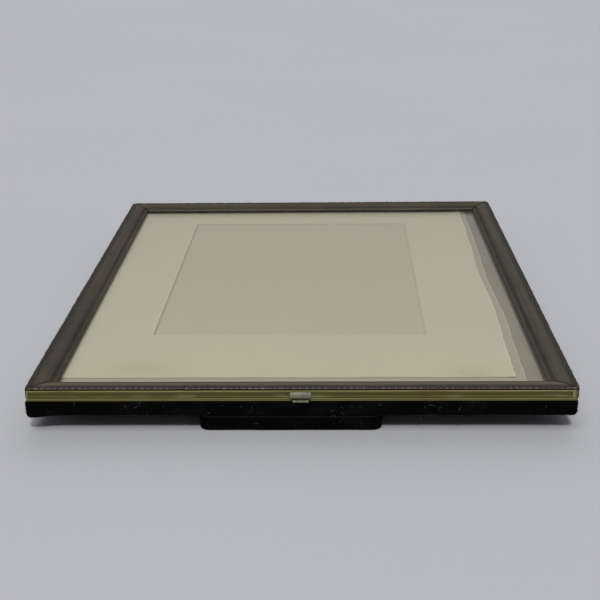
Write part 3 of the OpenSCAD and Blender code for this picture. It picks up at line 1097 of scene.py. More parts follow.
@dataclass
class RailSet:
    """Four mitred lengths that share one section."""

    mitre: float = 0.05
    step: float = 1.3

    def stations(self, side: Side, section: np.ndarray) -> np.ndarray:
        """Rings along a side, close together at its ends.

        Args:
            side: the side.
            section: (points, 2 or more) as inwards and up, in millimetres.

        Returns:
            (rings, points, 3) as along, inwards and up.
        """
        half = PLAN.span(side) / 2
        ends = np.array([0, 0.25, 0.5, 0.8, 1.2]) / half
        share = np.linspace(-1 + 2 / half, 1 - 2 / half, int(2 * half / self.step))
        share = np.concatenate([-1 + ends, share, 1 - ends[::-1]])[:, None]
        count = len(share)
        inwards = np.broadcast_to(section[:, 0], (count, len(section)))
        along = share * (half - self.mitre - inwards)
        up = np.broadcast_to(section[:, 1], along.shape)
        return np.stack([along, inwards, up], axis=-1).copy()

    @staticmethod
    def unrolled(rings: np.ndarray) -> np.ndarray:
        """The rail's own map: metres along it and metres round its section."""
        steps = np.diff(rings[..., 1:], axis=1, prepend=rings[:, -1:, 1:])
        around = np.cumsum(np.hypot(steps[..., 0], steps[..., 1]), axis=1)
        return np.stack([rings[..., 0], around], axis=-1) * MM

    def edge_line(self, side: Side, inwards: float, up: float, trim: float) -> np.ndarray:
        """A straight line along a side.

        Args:
            side: the side.
            inwards: its distance from the outer face, in millimetres.
            up: its height.
            trim: how far short of each mitre it stops.

        Returns:
            (2, 3) points in metres.
        """
        half = PLAN.span(side) / 2 - inwards - trim
        return PLAN.on_side(side, np.array([[-half, inwards, up], [half, inwards, up]]))


@dataclass
class FrontFrame(RailSet):
    """The glazed front's bronze rails with their beaded edge, and the coved brass band."""

    bead_spacing: float = 2.4
    bead_size: tuple[float, float, float] = (0.66, 0.42, 0.32)
    reel_size: tuple[float, float, float] = (0.24, 0.36, 0.30)
    turned_in: dict[Side, tuple[float, float]] = field(
        default_factory=lambda: {Side.RIGHT: (1.0, 2.4), Side.LEFT: (-1.0, 0.9)}
    )
    lifts: dict[Side, float] = field(default_factory=lambda: {Side.LEFT: 0.12, Side.RIGHT: 0.06})
    # How much lighter each rail's smooth band is painted, side by side: painted light, strongest on the near
    # rail, which faces the front light.
    polish: dict[Side, float] = field(default_factory=lambda: {
        Side.BOTTOM: 1.0, Side.RIGHT: 0.35, Side.TOP: 0.30, Side.LEFT: 0.15,
    })

    def __post_init__(self) -> None:
        """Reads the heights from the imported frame."""
        self.rail_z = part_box("band_bottom")[1].z / MM
        self.band_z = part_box("band_bottom")[0].z / MM
        self.sight_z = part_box("glass")[1].z / MM

    def rail_section(self) -> np.ndarray:
        """A bronze rail's section: (inwards, up, relief, stamping, smoothness), in millimetres; low relief
        paints shade, with grime.
        """
        z, low = self.rail_z, self.sight_z
        return eased([
            (0.60, z, 0, 0, 0), (0.50, z + 0.25, 0, 0, 0), (-0.15, z + 0.50, 0.1, 0.6, 0),
            (-0.20, z + 0.74, 0.8, 1, 0), (0.7, z + 0.92, 0.7, 1, 0), (1.5, z + 0.9, 0.35, 1, 0),
            (2.1, z + 1.0, 0.6, 0.8, 0.1), (3.0, z + 1.04, 0.7, 0, 0.7), (4.0, z + 0.95, 0.8, 0, 1),
            (5.3, z + 0.66, 0.6, 0, 0.9), (5.9, z + 0.56, 0.3, 0, 0.4), (6.4, z + 0.66, 0.8, 0, 0.4),
            (6.95, z + 0.50, 0.75, 0, 0.2), (7.3, z + 0.28, 0.35, 0, 0), (7.9, z - 0.08, 0.3, 0, 0),
            (8.6, z - 0.44, 0.3, 0, 0), (8.95, z - 0.56, 0.5, 0, 0), (9.35, z - 0.60, 0.8, 0, 0.3),
            (9.65, z - 0.72, 0.7, 0, 0.2), (9.98, z - 1.05, 0.5, 0, 0), (9.98, low, 0.5, 0, 0),
            (8.2, low, 0, 0, 0), (7.12, z - 0.3, 0, 0, 0), (7.12, z, 0, 0, 0),
        ], rounds=2, share=0.22)

    def band_section(self) -> np.ndarray:
        """The band's section: (inwards, up, relief), in millimetres; the relief column sets its painted
        highlight.
        """
        low, high = self.band_z, self.rail_z
        hollow = [(k / 10, math.sin(math.pi * k / 10)) for k in range(1, 10)]
        # The cove is painted lighter towards its top, as highlight.
        cove = [(0.58 * depth**0.7, low + 0.22 + 2.30 * share, 0.15 + 0.5 * share) for share, depth in hollow]
        return eased([
            (0.20, low, 0), (0.12, low + 0.06, 0), (0.10, low + 0.18, 0.05), *cove,
            (0.08, high - 0.78, 0.8), (0.0, high - 0.70, 1.0), (0.0, high - 0.34, 1.0), (0.3, high - 0.2, 0),
            (0.5, high, 0),
            (7.0, high, 0), (7.0, high - 0.6, 0), (1.25, high - 0.6, 0), (1.25, low, 0),
        ], rounds=1, share=0.2)

    def build(self) -> None:
        """Makes the rails, the band and the beads."""
        for side in Side:
            self.rail(side)
            self.band(side)
        self.beads()

    def rail(self, side: Side) -> None:
        """One bronze rail, a little uneven where it was stamped and handled."""
        section = self.rail_section()
        rings = self.stations(side, section)
        along = rings[..., 0]
        outer = np.clip(1 - section[:, 0] / 9.9, 0, 1)
        rings[..., 2] += wander(along, 11 + side.value, 60, 0.05) * outer
        rings[..., 1] += wander(along, 21 + side.value, 90, 0.05) * outer
        stamped = wander(along + rings[..., 1] * 7, 31 + side.value, 5.2, 0.07, 2)
        rings[..., 2] += stamped * section[:, 3]
        short = PLAN.span(side) / 2 - rings[..., 1] - np.abs(along)
        top = np.clip((section[:, 1] - self.rail_z + 0.2) * 3, 0, 1)
        seam = np.exp(-((short / 0.6) ** 2))
        rings[..., 2] -= (0.75 * seam - self.lifts.get(side, 0.0)) * top
        rings[..., 0] -= np.sign(along) * 0.02 * np.clip(section[:, 0] - 2, 0, 8) * seam
        # Relief drops and the gap mark rises at the mitres: painted shade, with grime, in the seams.
        form = Form().rings(
            PLAN.on_side(side, rings), self.unrolled(rings), relief=section[:, 2] * (1 - 0.9 * seam),
            stamped=section[:, 3], smooth=section[:, 4] * self.polish[side] * (1 - seam),
            gap=np.exp(-((short / 0.3) ** 2)) * 0.9,
        )
        name = f"front_rail_{side.word}"
        show(name, form.mesh(name), BRONZE, "front", f"bezel_{side.word}")

    def band(self, side: Side) -> None:
        """One length of brass band, with small dents in its lower lip."""
        section = self.band_section()
        rings = self.stations(side, section)
        along = rings[..., 0]
        face = np.clip(1 - section[:, 0] / 1.2, 0, 1)
        low = dome(section[:, 1] - self.band_z - 0.4, 0.8)
        rings[..., 1] += (0.03 + wander(along, 41 + side.value, 70, 0.03)) * face
        for spot, size in ((47.5, 0.35), (-31.0, 0.12), (18.0, 0.1), (-84.0, 0.15)):
            rings[..., 1] += dome(along - spot, 3.0) * size * face * low
            rings[..., 2] += dome(along - spot, 2.2) * size * 0.4 * face * low
        name = f"brass_band_{side.word}"
        form = Form().rings(PLAN.on_side(side, rings), self.unrolled(rings), relief=section[:, 2])
        if side in self.turned_in:
            self.turn(form, *self.turned_in[side])
        show(name, form.mesh(name), BRASS, "front", f"band_{side.word}")

    def turn(self, form: Form, hand: float, width: float) -> None:
        """Adds the flap that a side length turns round onto the near face.

        Args:
            form: what it is added to.
            hand: 1 at the right end, -1 at the left.
            width: how wide the flap is, in millimetres.
        """
        edge = PLAN.width / 2 + 0.1
        rows = []
        shares = (0, 0.12, 0.3, 0.55, 0.8, 1.0)
        for share in shares:
            tuck = 0.10 * math.sin(share * math.pi / 2) + 0.04
            x = hand * (edge - width * (1 - share))
            out = 0.02 + tuck * (0.3 + 0.7 * math.sin(math.pi * share))
            rows.append([(x, -out, self.band_z + 0.05), (x, -out, self.rail_z - 0.03),
                         (x, 0.3, self.rail_z - 0.03), (x, 0.3, self.band_z + 0.05)])
        # Painted highlight across the flap: bright near the turn, darker towards its end.
        lit = np.interp(shares, (0, 0.12, 0.35, 0.5, 0.85, 1.0), (0.7, 1.0, 0.9, 0.5, 0.42, 0.1))
        form.rings(PLAN.on_side(Side.BOTTOM, np.array(rows)), relief=np.repeat(lit[:, None], 4, axis=1))

    def beads(self) -> None:
        """The row of long beads and small reels along the rails' outer edge."""
        row = BeadRow()
        parts = []
        for trim, size in ((1.6, self.bead_size), (1.6 + self.bead_spacing / 2, self.reel_size)):
            lines = [self.edge_line(side, 0.06, self.rail_z + 0.72, trim) for side in Side]
            parts.append(row.run(
                lines_object(lines), "bead", Spacing=self.bead_spacing * MM, Size=[v * MM for v in size],
                Unevenness=0.3, Material=BEAD_BRONZE.material(),
            ))
        mesh = joined("rail_beads", parts)
        near_face = (PLAN.middle_y - PLAN.length / 2 + 1.5) * MM
        mark_points(mesh, "relief", lambda points: np.full(len(points), 0.92))
        # Beads on the near face get little of the dark stamped colour: painted light, lighter on the side
        # that faces the front light.
        mark_points(mesh, "stamped", lambda points: np.where(points[:, 1] < near_face, 0.1, 1.0))
        show("rail_beads", mesh, BEAD_BRONZE, "front")


def joined(name: str, parts: Sequence[bpy.types.Mesh]) -> bpy.types.Mesh:
    """Joins plain meshes into one.

    Args:
        name: its name.
        parts: the meshes; they are removed.

    Returns:
        The joined mesh.
    """
    work = bmesh.new()
    for part in parts:
        work.from_mesh(part)
    made = bpy.data.meshes.new(name)
    work.to_mesh(made)
    work.free()
    for part in parts:
        bpy.data.meshes.remove(part)
    made.shade_smooth()
    return made


def mark_points(mesh: bpy.types.Mesh, name: str, value: Callable[[np.ndarray], np.ndarray]) -> None:
    """Gives each point of a mesh a named value, worked out from the (n, 3) points."""
    points = np.array([vertex.co for vertex in mesh.vertices])
    mesh.attributes.new(name, "FLOAT", "POINT").data.foreach_set("value", value(points))


@dataclass
class Glazing:
    """The pane, the tabs that hold it and the corner braces."""

    arris: float = 0.25
    tab_width: float = 8.0

    def build(self) -> None:
        """Makes the pane and the tabs, and dresses the braces."""
        work = block(*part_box("glass"), self.arris * MM, 1)
        mesh = bpy.data.meshes.new("pane")
        work.to_mesh(mesh)
        work.free()
        show("pane", mesh, GLASS, "front", "glass")
        self.tabs()
        dress("corner_braces", BRASS, 0.06)

    def tabs(self) -> None:
        """Tabs bent in from the band under the glass, two a side."""
        low, high = (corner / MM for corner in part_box("glass_tabs"))
        form = Form()
        depth = np.linspace(1.25, 6.9, 8)
        for side in Side:
            for share in (-0.3, 0.3):
                width = self.tab_width / 2 * (1 - 0.35 * ((depth - 1.25) / 5.65) ** 6)
                ring = [(-1, low.z + 0.05), (1, low.z + 0.05), (1, high.z), (-1, high.z)]
                rings = np.array([
                    [(share * PLAN.span(side) + s * w, d, z) for s, z in ring]
                    for w, d in zip(width, depth)
                ])
                form.rings(PLAN.on_side(side, rings))
        show("pane_tabs", form.mesh("pane_tabs"), BRASS, "front", "glass_tabs")


@dataclass
class CardStack:
    """The mount with its sunk panel, the sheet under it and the pad."""

    tear: float = 0.28
    panel_size: tuple[float, float] = (118.8, 168.0)
    panel_middle: tuple[float, float] = (-5.5, 16.5)
    panel_turn: float = 0.0087
    panel_depth: float = 0.2
    # How strongly the painted shade line shows on each side of the panel.
    line_strength: dict[Side, float] = field(default_factory=lambda: {
        Side.LEFT: 0.85, Side.TOP: 0.6, Side.RIGHT: 0.35, Side.BOTTOM: 0.08,
    })

    def build(self) -> None:
        """Makes the three sheets."""
        self.mount()
        self.under()
        self.pad()

    def grid(self, node: str, near_right: float, seed: int, fine: Sequence[float] = ()) -> dict:
        """A sheet's points, worn along its right and near edges.

        Args:
            node: the CAD sheet that it lies in.
            near_right: where its right edge starts at the near side, in millimetres.
            seed: the wear's own number.
            fine: distances from the panel's edges at which more lines run.

        Returns:
            The points' x, y and top, their distances from the worn edges, and the thickness.
        """
        low, high = (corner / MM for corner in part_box(node))
        middle = Vector((self.panel_middle[0], self.panel_middle[1] + PLAN.middle_y))
        half = Vector(self.panel_size) / 2
        extra_x = [middle.x + s * (half.x + d) for s in (-1, 1) for d in fine]
        extra_y = [middle.y + s * (half.y + d) for s in (-1, 1) for d in fine]
        rim = near_right - np.array([0, 0.25, 0.6, 1.2, 2.2, 4.0, 7.0])
        xs = np.array(sorted({*np.linspace(low.x, rim[-1], 40)[:-1], *rim, *extra_x}))
        near = low.y + np.array([0, 0.25, 0.6, 1.2, 2.2, 4.0])
        ys = np.array(sorted({*near, *np.arange(low.y + 5.0, high.y - 0.3, 1.1), high.y, *extra_y}))
        x, y = np.meshgrid(xs, ys)
        share = (y - low.y) / (high.y - low.y)
        pull = np.clip((x - rim[-1]) / (near_right - rim[-1]), 0, 1)
        worn = wander(y, seed, 46, self.tear) + wander(y, seed + 1, 7, self.tear * 0.22)
        inset = np.clip(np.minimum(share, 1 - share) * 12, 0, 1)
        bulge = 0.9 * dome(share - 0.30, 0.17) - 0.8 * dome(share - 0.54, 0.17)
        shift = share * (high.x - near_right) + (bulge + worn) * inset
        lift = np.clip(1 - (y - low.y) / 4.0, 0, 1)
        return {
            "x": x + shift * pull, "y": y + (0.35 + wander(x, seed + 2, 60, 0.3)) * lift,
            "right": near_right - x, "near": y - low.y, "top": high.z, "thick": high.z - low.z,
        }

    def mount(self) -> None:
        """The top sheet, its panel pressed in with a painted shade line round it."""
        flat = self.grid("mount_sheet", 85.2, 5, (-0.9, -0.45, -0.25, 0.0, 0.25, 0.45, 0.9, 1.4))
        x, y = flat["x"], flat["y"]
        from_x, from_y = x - self.panel_middle[0], y - self.panel_middle[1] - PLAN.middle_y
        across = np.abs(from_x) - self.panel_size[0] / 2
        down = np.abs(from_y) - self.panel_size[1] / 2
        outside = np.maximum(across, down)
        inside = np.clip(-outside / 0.45, 0, 1)
        ridge = np.exp(-(((outside - 0.8) / 0.4) ** 2))
        # Painted shade along the panel's step, set by side.
        line = np.exp(-((outside / 0.42) ** 2)) * self.line_share(from_x, from_y, across > down)
        # Painted highlight on the ridge beside the panel's left side.
        pale = ridge * 0.35 * ((across > down) & (from_x < 0))
        warp = 0.02 * np.sin(x / 31 + 1) * np.sin(y / 43)
        curl = 0.28 * np.clip(1 - flat["right"] / 7, 0, 1) ** 2
        curl = curl + 0.10 * np.clip(1 - flat["near"] / 4, 0, 1) ** 2
        z = flat["top"] - self.panel_depth * inside + 0.03 * ridge + (warp + 0.02) * (1 - inside) + curl
        smudge = dome(np.hypot((x + 66) / 1.8, y + 104), 9) + dome(np.hypot((x - 68) / 1.5, y + 108), 7)
        # Painted highlight along the torn right and near edges.
        edge_highlight = np.clip(1 - np.minimum(flat["right"], flat["near"]) / 0.5, 0, 1)
        firm = np.clip((60 - np.maximum(across, down)) / 40, 0, 1) * (outside < 12)
        turned = self.panel_turn * firm
        form = Form().leaf(
            np.stack([x + turned * from_y, y - turned * from_x, z], axis=-1) * MM, flat["thick"] * MM,
            panel=inside, line=np.clip(line + self.scratch(x, y), 0, 1),
            edge=np.maximum(edge_highlight * 0.8, pale),
            smudge=np.clip(smudge, 0, 1),
        )
        show("mount", form.mesh("mount"), MOUNT_CARD, "back", "mount_sheet")

    def line_share(self, from_x: np.ndarray, from_y: np.ndarray, sideways: np.ndarray) -> np.ndarray:
        """How strongly the panel's painted shade line shows at each point.

        Args:
            from_x: distance to the right of the panel's middle.
            from_y: distance beyond it.
            sideways: True where a left or right edge is the nearest.

        Returns:
            The share, from 0 to 1.
        """
        strong = self.line_strength
        upright = np.where(from_x < 0, strong[Side.LEFT], strong[Side.RIGHT])
        level = np.where(from_y > 0, strong[Side.TOP], strong[Side.BOTTOM])
        return np.where(sideways, upright, level)

    @staticmethod
    def scratch(x: np.ndarray, y: np.ndarray) -> np.ndarray:
        """A short curved scratch near the mount's right edge."""
        beside, below = x - 67.5, y + 112.0
        return 0.6 * dome(below - 0.8 * np.sin(beside / 1.1), 0.7) * dome(beside, 2.6)

    def under(self) -> None:
        """The sheet under it, seen as a strip along two edges."""
        flat = self.grid("under_sheet", 89.1, 17)
        curl = 0.22 * np.clip(1 - flat["right"] / 6, 0, 1) ** 2
        form = Form().leaf(
            np.stack([flat["x"], flat["y"], flat["top"] + curl - 0.01], axis=-1) * MM, flat["thick"] * MM,
            # Painted highlight along the torn right edge.
            edge=np.clip(1 - flat["right"] / 0.6, 0, 1), panel=np.zeros_like(curl),
        )
        show("under_sheet_card", form.mesh("under_sheet_card"), UNDER_CARD, "back", "under_sheet")

    def pad(self) -> None:
        """The grey pad, its edges a little crushed."""
        low, high = (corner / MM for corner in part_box("backing_pad"))
        x, y = np.meshgrid(np.linspace(low.x, high.x, 90), np.linspace(low.y, high.y, 110))
        edge = np.minimum(np.minimum(x - low.x, high.x - x), np.minimum(y - low.y, high.y - y))
        z = high.z - 0.01 - 0.25 * np.clip(1 - edge / 2.5, 0, 1) ** 2 + 0.02 * np.sin(x / 9) * np.sin(y / 13)
        form = Form().leaf(np.stack([x, y, z], axis=-1) * MM, (high.z - low.z - 0.3) * MM)
        show("pad", form.mesh("pad"), PAD, "back", "backing_pad")


@dataclass
class VelvetShell:
    """Velvet turned up round a board: an outer face, a turned top and an inner face."""

    corners: Sequence[Sequence[float]]
    radius: float
    low: float
    high: float
    cloth: float = 0.9
    round_off: float = 1.8
    sunk: float = 0.14
    folds: Sequence[float] = (0.0, 0.0, 0.0, 0.0)
    seed: int = 3

    def rings(self) -> tuple[np.ndarray, np.ndarray]:
        """The shell's rings, and how much of each shows.

        Returns:
            (rings, points, 3) in metres, and (rings, points).
        """
        ring = rounded_ring(self.corners, self.radius, 0.9)
        r, z0, z1, t = self.round_off, self.low, self.high, self.cloth
        curve = [(r - r * math.sin(a), z0 + r - r * math.cos(a)) for a in np.linspace(0, math.pi / 2, 7)]
        inner = max(r - t, 0.2)
        walls = [z1 - (z1 - z0 - r) * k / 6 for k in range(7)]
        outer = [(14.0, z0), (6.0, z0), (3.2, z0), *curve, *((0.0, z) for z in walls[5:0:-1])]
        top = [(0.06, z1 - 0.12), (0.28, z1), (t - 0.25, z1), (t, z1 - 0.15)]
        floor = z0 + t
        inside = [
            (t, floor + inner), (t + inner * 0.4, floor + inner * 0.3), (t + inner, floor), (14.0, floor),
        ]
        path = outer + top + inside
        length = np.cumsum(np.hypot(*(np.roll(ring[:, :2], -1, axis=0) - ring[:, :2]).T))
        middle = ring[:, :2].mean(axis=0)
        narrow = np.abs(ring[:, :2] - middle).max(axis=0).min()
        apart = ring[:, None, :2] - np.array(self.corners)[None]
        folded = (dome(np.hypot(apart[..., 0], apart[..., 1]), 12.0) * self.folds).sum(axis=1)
        rows, shown = [], []
        for k, (inset, z) in enumerate(path):
            soft = 1.0 if 1 < k < len(outer) else 0.0
            sunk = self.sunk + wander(length, self.seed, 38, 0.07)
            sunk = sunk + wander(length + 5 * k, self.seed + k, 3.1, 0.05, 2)
            near = np.minimum(inset + (sunk - folded) * soft, 0.8 * self.radius)
            shrunk = 1 - (max(inset, 0.8 * self.radius) - 0.8 * self.radius) / narrow
            flat = middle + (ring[:, :2] - ring[:, 2:] * near[:, None] - middle) * shrunk
            down = min(max(1 - (z - z0) / 4.0, 0.0), 1.0) * (k < len(outer))
            up = z + wander(length, self.seed + 40 + k, 6.0, 0.03) * soft - folded * down
            rows.append(np.column_stack([flat, up]))
            shown.append(np.full(len(ring), soft))
        return np.array(rows) * MM, np.array(shown)


@dataclass
class Pile:
    """Pile and lint strewn on velvet."""

    pile_density: float = 1.6e6
    lint_density: float = 2.6e5

    def strew(self, cloth: bpy.types.Object, body: str, seed: int) -> list[bpy.types.Object]:
        """Makes the pile and the lint of one piece of velvet.

        Args:
            cloth: the velvet.
            body: the body that it moves with.
            seed: its own number.

        Returns:
            The two pieces.
        """
        short = fibre_object(0.5, 0.10, 0.5, 1)
        long = fibre_object(2.4, 0.12, 2.2, 4)
        kinds = (
            ("pile", short, PILE, self.pile_density, 0.9, 0.35, "shown"),
            ("lint", long, LINT, self.lint_density, 1.7, 0.6, "linty"),
        )
        extra = []
        for kind, fibre, finish, density, lean, uneven, mask in kinds:
            mesh = cloth.data.copy()
            if mask != "shown":
                mesh.attributes.remove(mesh.attributes["shown"])
                mesh.attributes[mask].name = "shown"
            base = bpy.data.objects.new("strewn_on", mesh)
            made = STREWN.run(
                base, f"{cloth.name}_{kind}", Density=density, Seed=seed, Lean=lean, Fibre=fibre,
                Size=[1.0, 1.0, 1.0], Unevenness=uneven, Material=finish.material(),
            )
            bpy.data.meshes.remove(mesh)
            extra.append(show(made.name, made, finish, body))
        return extra


@dataclass
class BackCase(RailSet):
    """The velvet-covered back: its board, battens, ridged rim and cloth."""

    cut_size: tuple[float, float] = (0.236, 0.287)
    folds: Sequence[float] = (0.75, 0.15, 0.2, 0.3)

    def build(self) -> None:
        """Makes the velvet and the rim, and dresses the wood."""
        for node in ("back_board", *(f"batten_{side.word}" for side in Side)):
            dress(node, WOOD)
        self.velvet()
        for side in Side:
            self.rim(side)

    def velvet(self) -> None:
        """The black velvet, turned up round the sides, with pile and lint."""
        low, high = (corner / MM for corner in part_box("back_velvet"))
        corners = [(low.x, low.y), (high.x, low.y), (high.x, high.y), (low.x, high.y)]
        shell = VelvetShell(corners, 1.6, low.z, high.z, sunk=-0.15, folds=self.folds)
        rings, shown = shell.rings()
        clear = (np.abs(rings[..., 0]) > 10 * MM) | (rings[..., 1] > 0)
        form = Form().rings(rings, None, shown=shown, linty=shown * clear * lint_patches(rings))
        cloth = show("back_velvet_cloth", form.mesh("back_velvet_cloth", 60), VELVET, "back", "back_velvet")
        extra = Pile().strew(cloth, "back", 4)

    def rim(self, side: Side) -> None:
        """One length of the rim: two half-round beads over a flat flange."""
        low, high = (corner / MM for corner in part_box("rim_bottom"))
        z, r = low.z, (high.z - low.z) / 4
        # Painted highlight on the bead crests, stronger on the upper bead.
        beads = [
            (r - r * math.sin(a), z + r * (1 + 2 * k) - r * math.cos(a), (0.7 + 0.3 * k) * math.sin(a) ** 3)
            for k in (0, 1) for a in np.linspace(0.1, math.pi - 0.1, 9)
        ]
        section = np.array([
            *beads, (1.1, high.z, 0), (1.1, z + 0.5, 0), (6.8, z + 0.5, 0), (6.8, z, 0), (r, z, 0),
        ])
        rings = self.stations(side, section)
        rings[..., 1] += (0.03 + wander(rings[..., 0], 61 + side.value, 50, 0.03)) * (section[:, 0] < 0.5)
        name = f"ridged_rim_{side.word}"
        form = Form().rings(PLAN.on_side(side, rings), self.unrolled(rings), relief=section[:, 2])
        show(name, form.mesh(name), BRASS, "back", f"rim_{side.word}")


def lint_patches(points: np.ndarray) -> np.ndarray:
    """Where lint has gathered, from 0 to 1, at (..., 3) points in metres."""
    x, y = points[..., 0] / MM, points[..., 1] / MM
    return np.clip(wander(x * 1.0 + y * 1.3, 77, 37, 1.0) - 0.05, 0, 1) ** 1.5 + 0.05


@dataclass
class FrontHinges:
    """The two hinges of the glazed front, with their screws and rivets."""

    screw_radius: float = 0.9
    rivet_radius: float = 0.7

    def build(self) -> None:
        """Dresses the leaves and pins, and sets the heads."""
        for side in ("left", "right"):
            dress(f"{side}_hinge_lower_leaf", STEEL, 0.08)
            dress(f"{side}_hinge_upper_leaf", STEEL, 0.08)
            dress(f"{side}_hinge_pin", STEEL, 0.06)
        screw = spun_head([(0.96, -0.2), (1.0, 0.05), (0.9, 0.27), (0.55, 0.42), (0.12, 0.46)], slot=0.16)
        rivet = spun_head([(0.96, -0.2), (1.0, 0.1), (0.78, 0.36), (0.4, 0.49), (0.1, 0.52)])
        self.heads("hinge_screws", screw, self.screw_radius, "back")
        self.heads("hinge_rivets", rivet, self.rivet_radius, "front")

    def heads(self, node: str, head: bpy.types.Object, radius: float, body: str) -> None:
        """A head on each screw or rivet.

        Args:
            node: the CAD group that they stand for.
            head: the head's shape.
            radius: its radius in millimetres.
            body: the body that they move with.
        """
        low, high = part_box(node)
        inner = radius * MM
        face = PLAN.on_side(Side.TOP, np.array([0.0, -0.45, 0.0]))[1]
        width = 15.0 * MM
        middle = (low.z + high.z) / 2
        xs = [low.x + inner, low.x + inner + width, high.x - inner - width, high.x - inner]
        mesh = bpy.data.meshes.new("spots")
        mesh.from_pydata([(x, face, middle) for x in xs], [], [])
        made = FIXINGS.run(
            bpy.data.objects.new("spots", mesh), f"{node}_heads", Facing=[-math.pi / 2, 0.0, 0.0],
            Head=head, Size=[radius, radius, 0.8], Unevenness=0.03, Material=STEEL.material(),
        )
        show(f"{node}_heads", made, STEEL, body, node)


@dataclass
class Catch:
    """The hasp with its flared thumb tab, over a small barrel."""

    width: float = 8.0
    neck_width: float = 6.0

    def build(self) -> None:
        """Makes the hasp and dresses the bracket and pin."""
        dress("catch_bracket", NICKEL, 0.05)
        dress("catch_pin", NICKEL)
        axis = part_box("catch_hasp")[0].z / MM + 0.45
        form = Form()
        self.tab(form, axis)
        self.neck(form, axis)
        self.barrel(form, axis)
        show("catch_plate", form.mesh("catch_plate", 50), NICKEL, "catch", "catch_hasp")

    def swept(self, form: Form, section: Sequence[Sequence[float]], half: float, close: float,
              flare: Callable[[np.ndarray, np.ndarray], np.ndarray], grimy: float = 0.1) -> None:
        """Adds a piece with one section across the catch.

        Args:
            form: what it is added to.
            section: its outline as (outwards, up), in millimetres.
            half: half its width.
            close: how far its ends draw in.
            flare: gives what is added outwards, from the share of the width and the height.
            grimy: how much grime and painted shade darken it, from 0 to 1.
        """
        outline = eased(section, 2, 0.22)
        middle = outline.mean(axis=0)
        share = np.sin(np.linspace(-math.pi / 2, math.pi / 2, 21))
        rows = []
        for t in share:
            shrink = 1 - close * abs(t) ** 10
            ring = middle + (outline - middle) * shrink
            out = ring[:, 0] + flare(np.full(len(ring), t), ring[:, 1])
            rows.append(np.stack([np.full(len(ring), t * half), -out, ring[:, 1]], axis=-1))
        form.rings(PLAN.on_side(Side.BOTTOM, np.array(rows)), grimy=grimy)

    def tab(self, form: Form, axis: float) -> None:
        """The thumb tab, thin above and rolled out at its lower edge."""
        z = axis
        self.swept(form, [
            (0.45, z + 1.65), (1.2, z + 1.50), (1.5, z + 1.62), (1.50, z + 2.0), (1.40, z + 2.6),
            (1.1, z + 3.2), (0.6, z + 3.75), (0.35, z + 3.82), (0.2, z + 3.7), (0.35, z + 3.2),
            (0.42, z + 2.7),
        ], self.width / 2, 0.2, lambda t, h: -0.16 * (1 - np.abs(t)) * dome(h - z - 2.0, 0.7))

    def neck(self, form: Form, axis: float) -> None:
        """The plate between the tab and the barrel, darkened by painted shade under the tab and by grime."""
        z = axis
        self.swept(form, [
            (0.47, z + 0.62), (0.80, z + 0.62), (0.78, z + 0.95), (0.66, z + 1.35), (0.62, z + 2.05),
            (0.45, z + 2.05),
        ], self.neck_width / 2, 0.2, lambda t, h: 0.0 * t, grimy=0.85)
        self.swept(form, [
            (0.47, z), (0.80, z), (0.80, z + 0.8), (0.47, z + 0.8),
        ], 1.38, 0.1, lambda t, h: 0.0 * t, grimy=0.7)

    def barrel(self, form: Form, axis: float) -> None:
        """The knuckle that turns on the pin."""
        around = np.arange(20) * 2 * math.pi / 20
        rows = [
            np.stack([np.full(20, x), -0.9 - r * np.cos(around), axis + r * np.sin(around)], axis=-1)
            for x, r in ((-1.4, 0.38), (-1.33, 0.44), (1.33, 0.44), (1.4, 0.38))
        ]
        form.rings(PLAN.on_side(Side.BOTTOM, np.array(rows)))


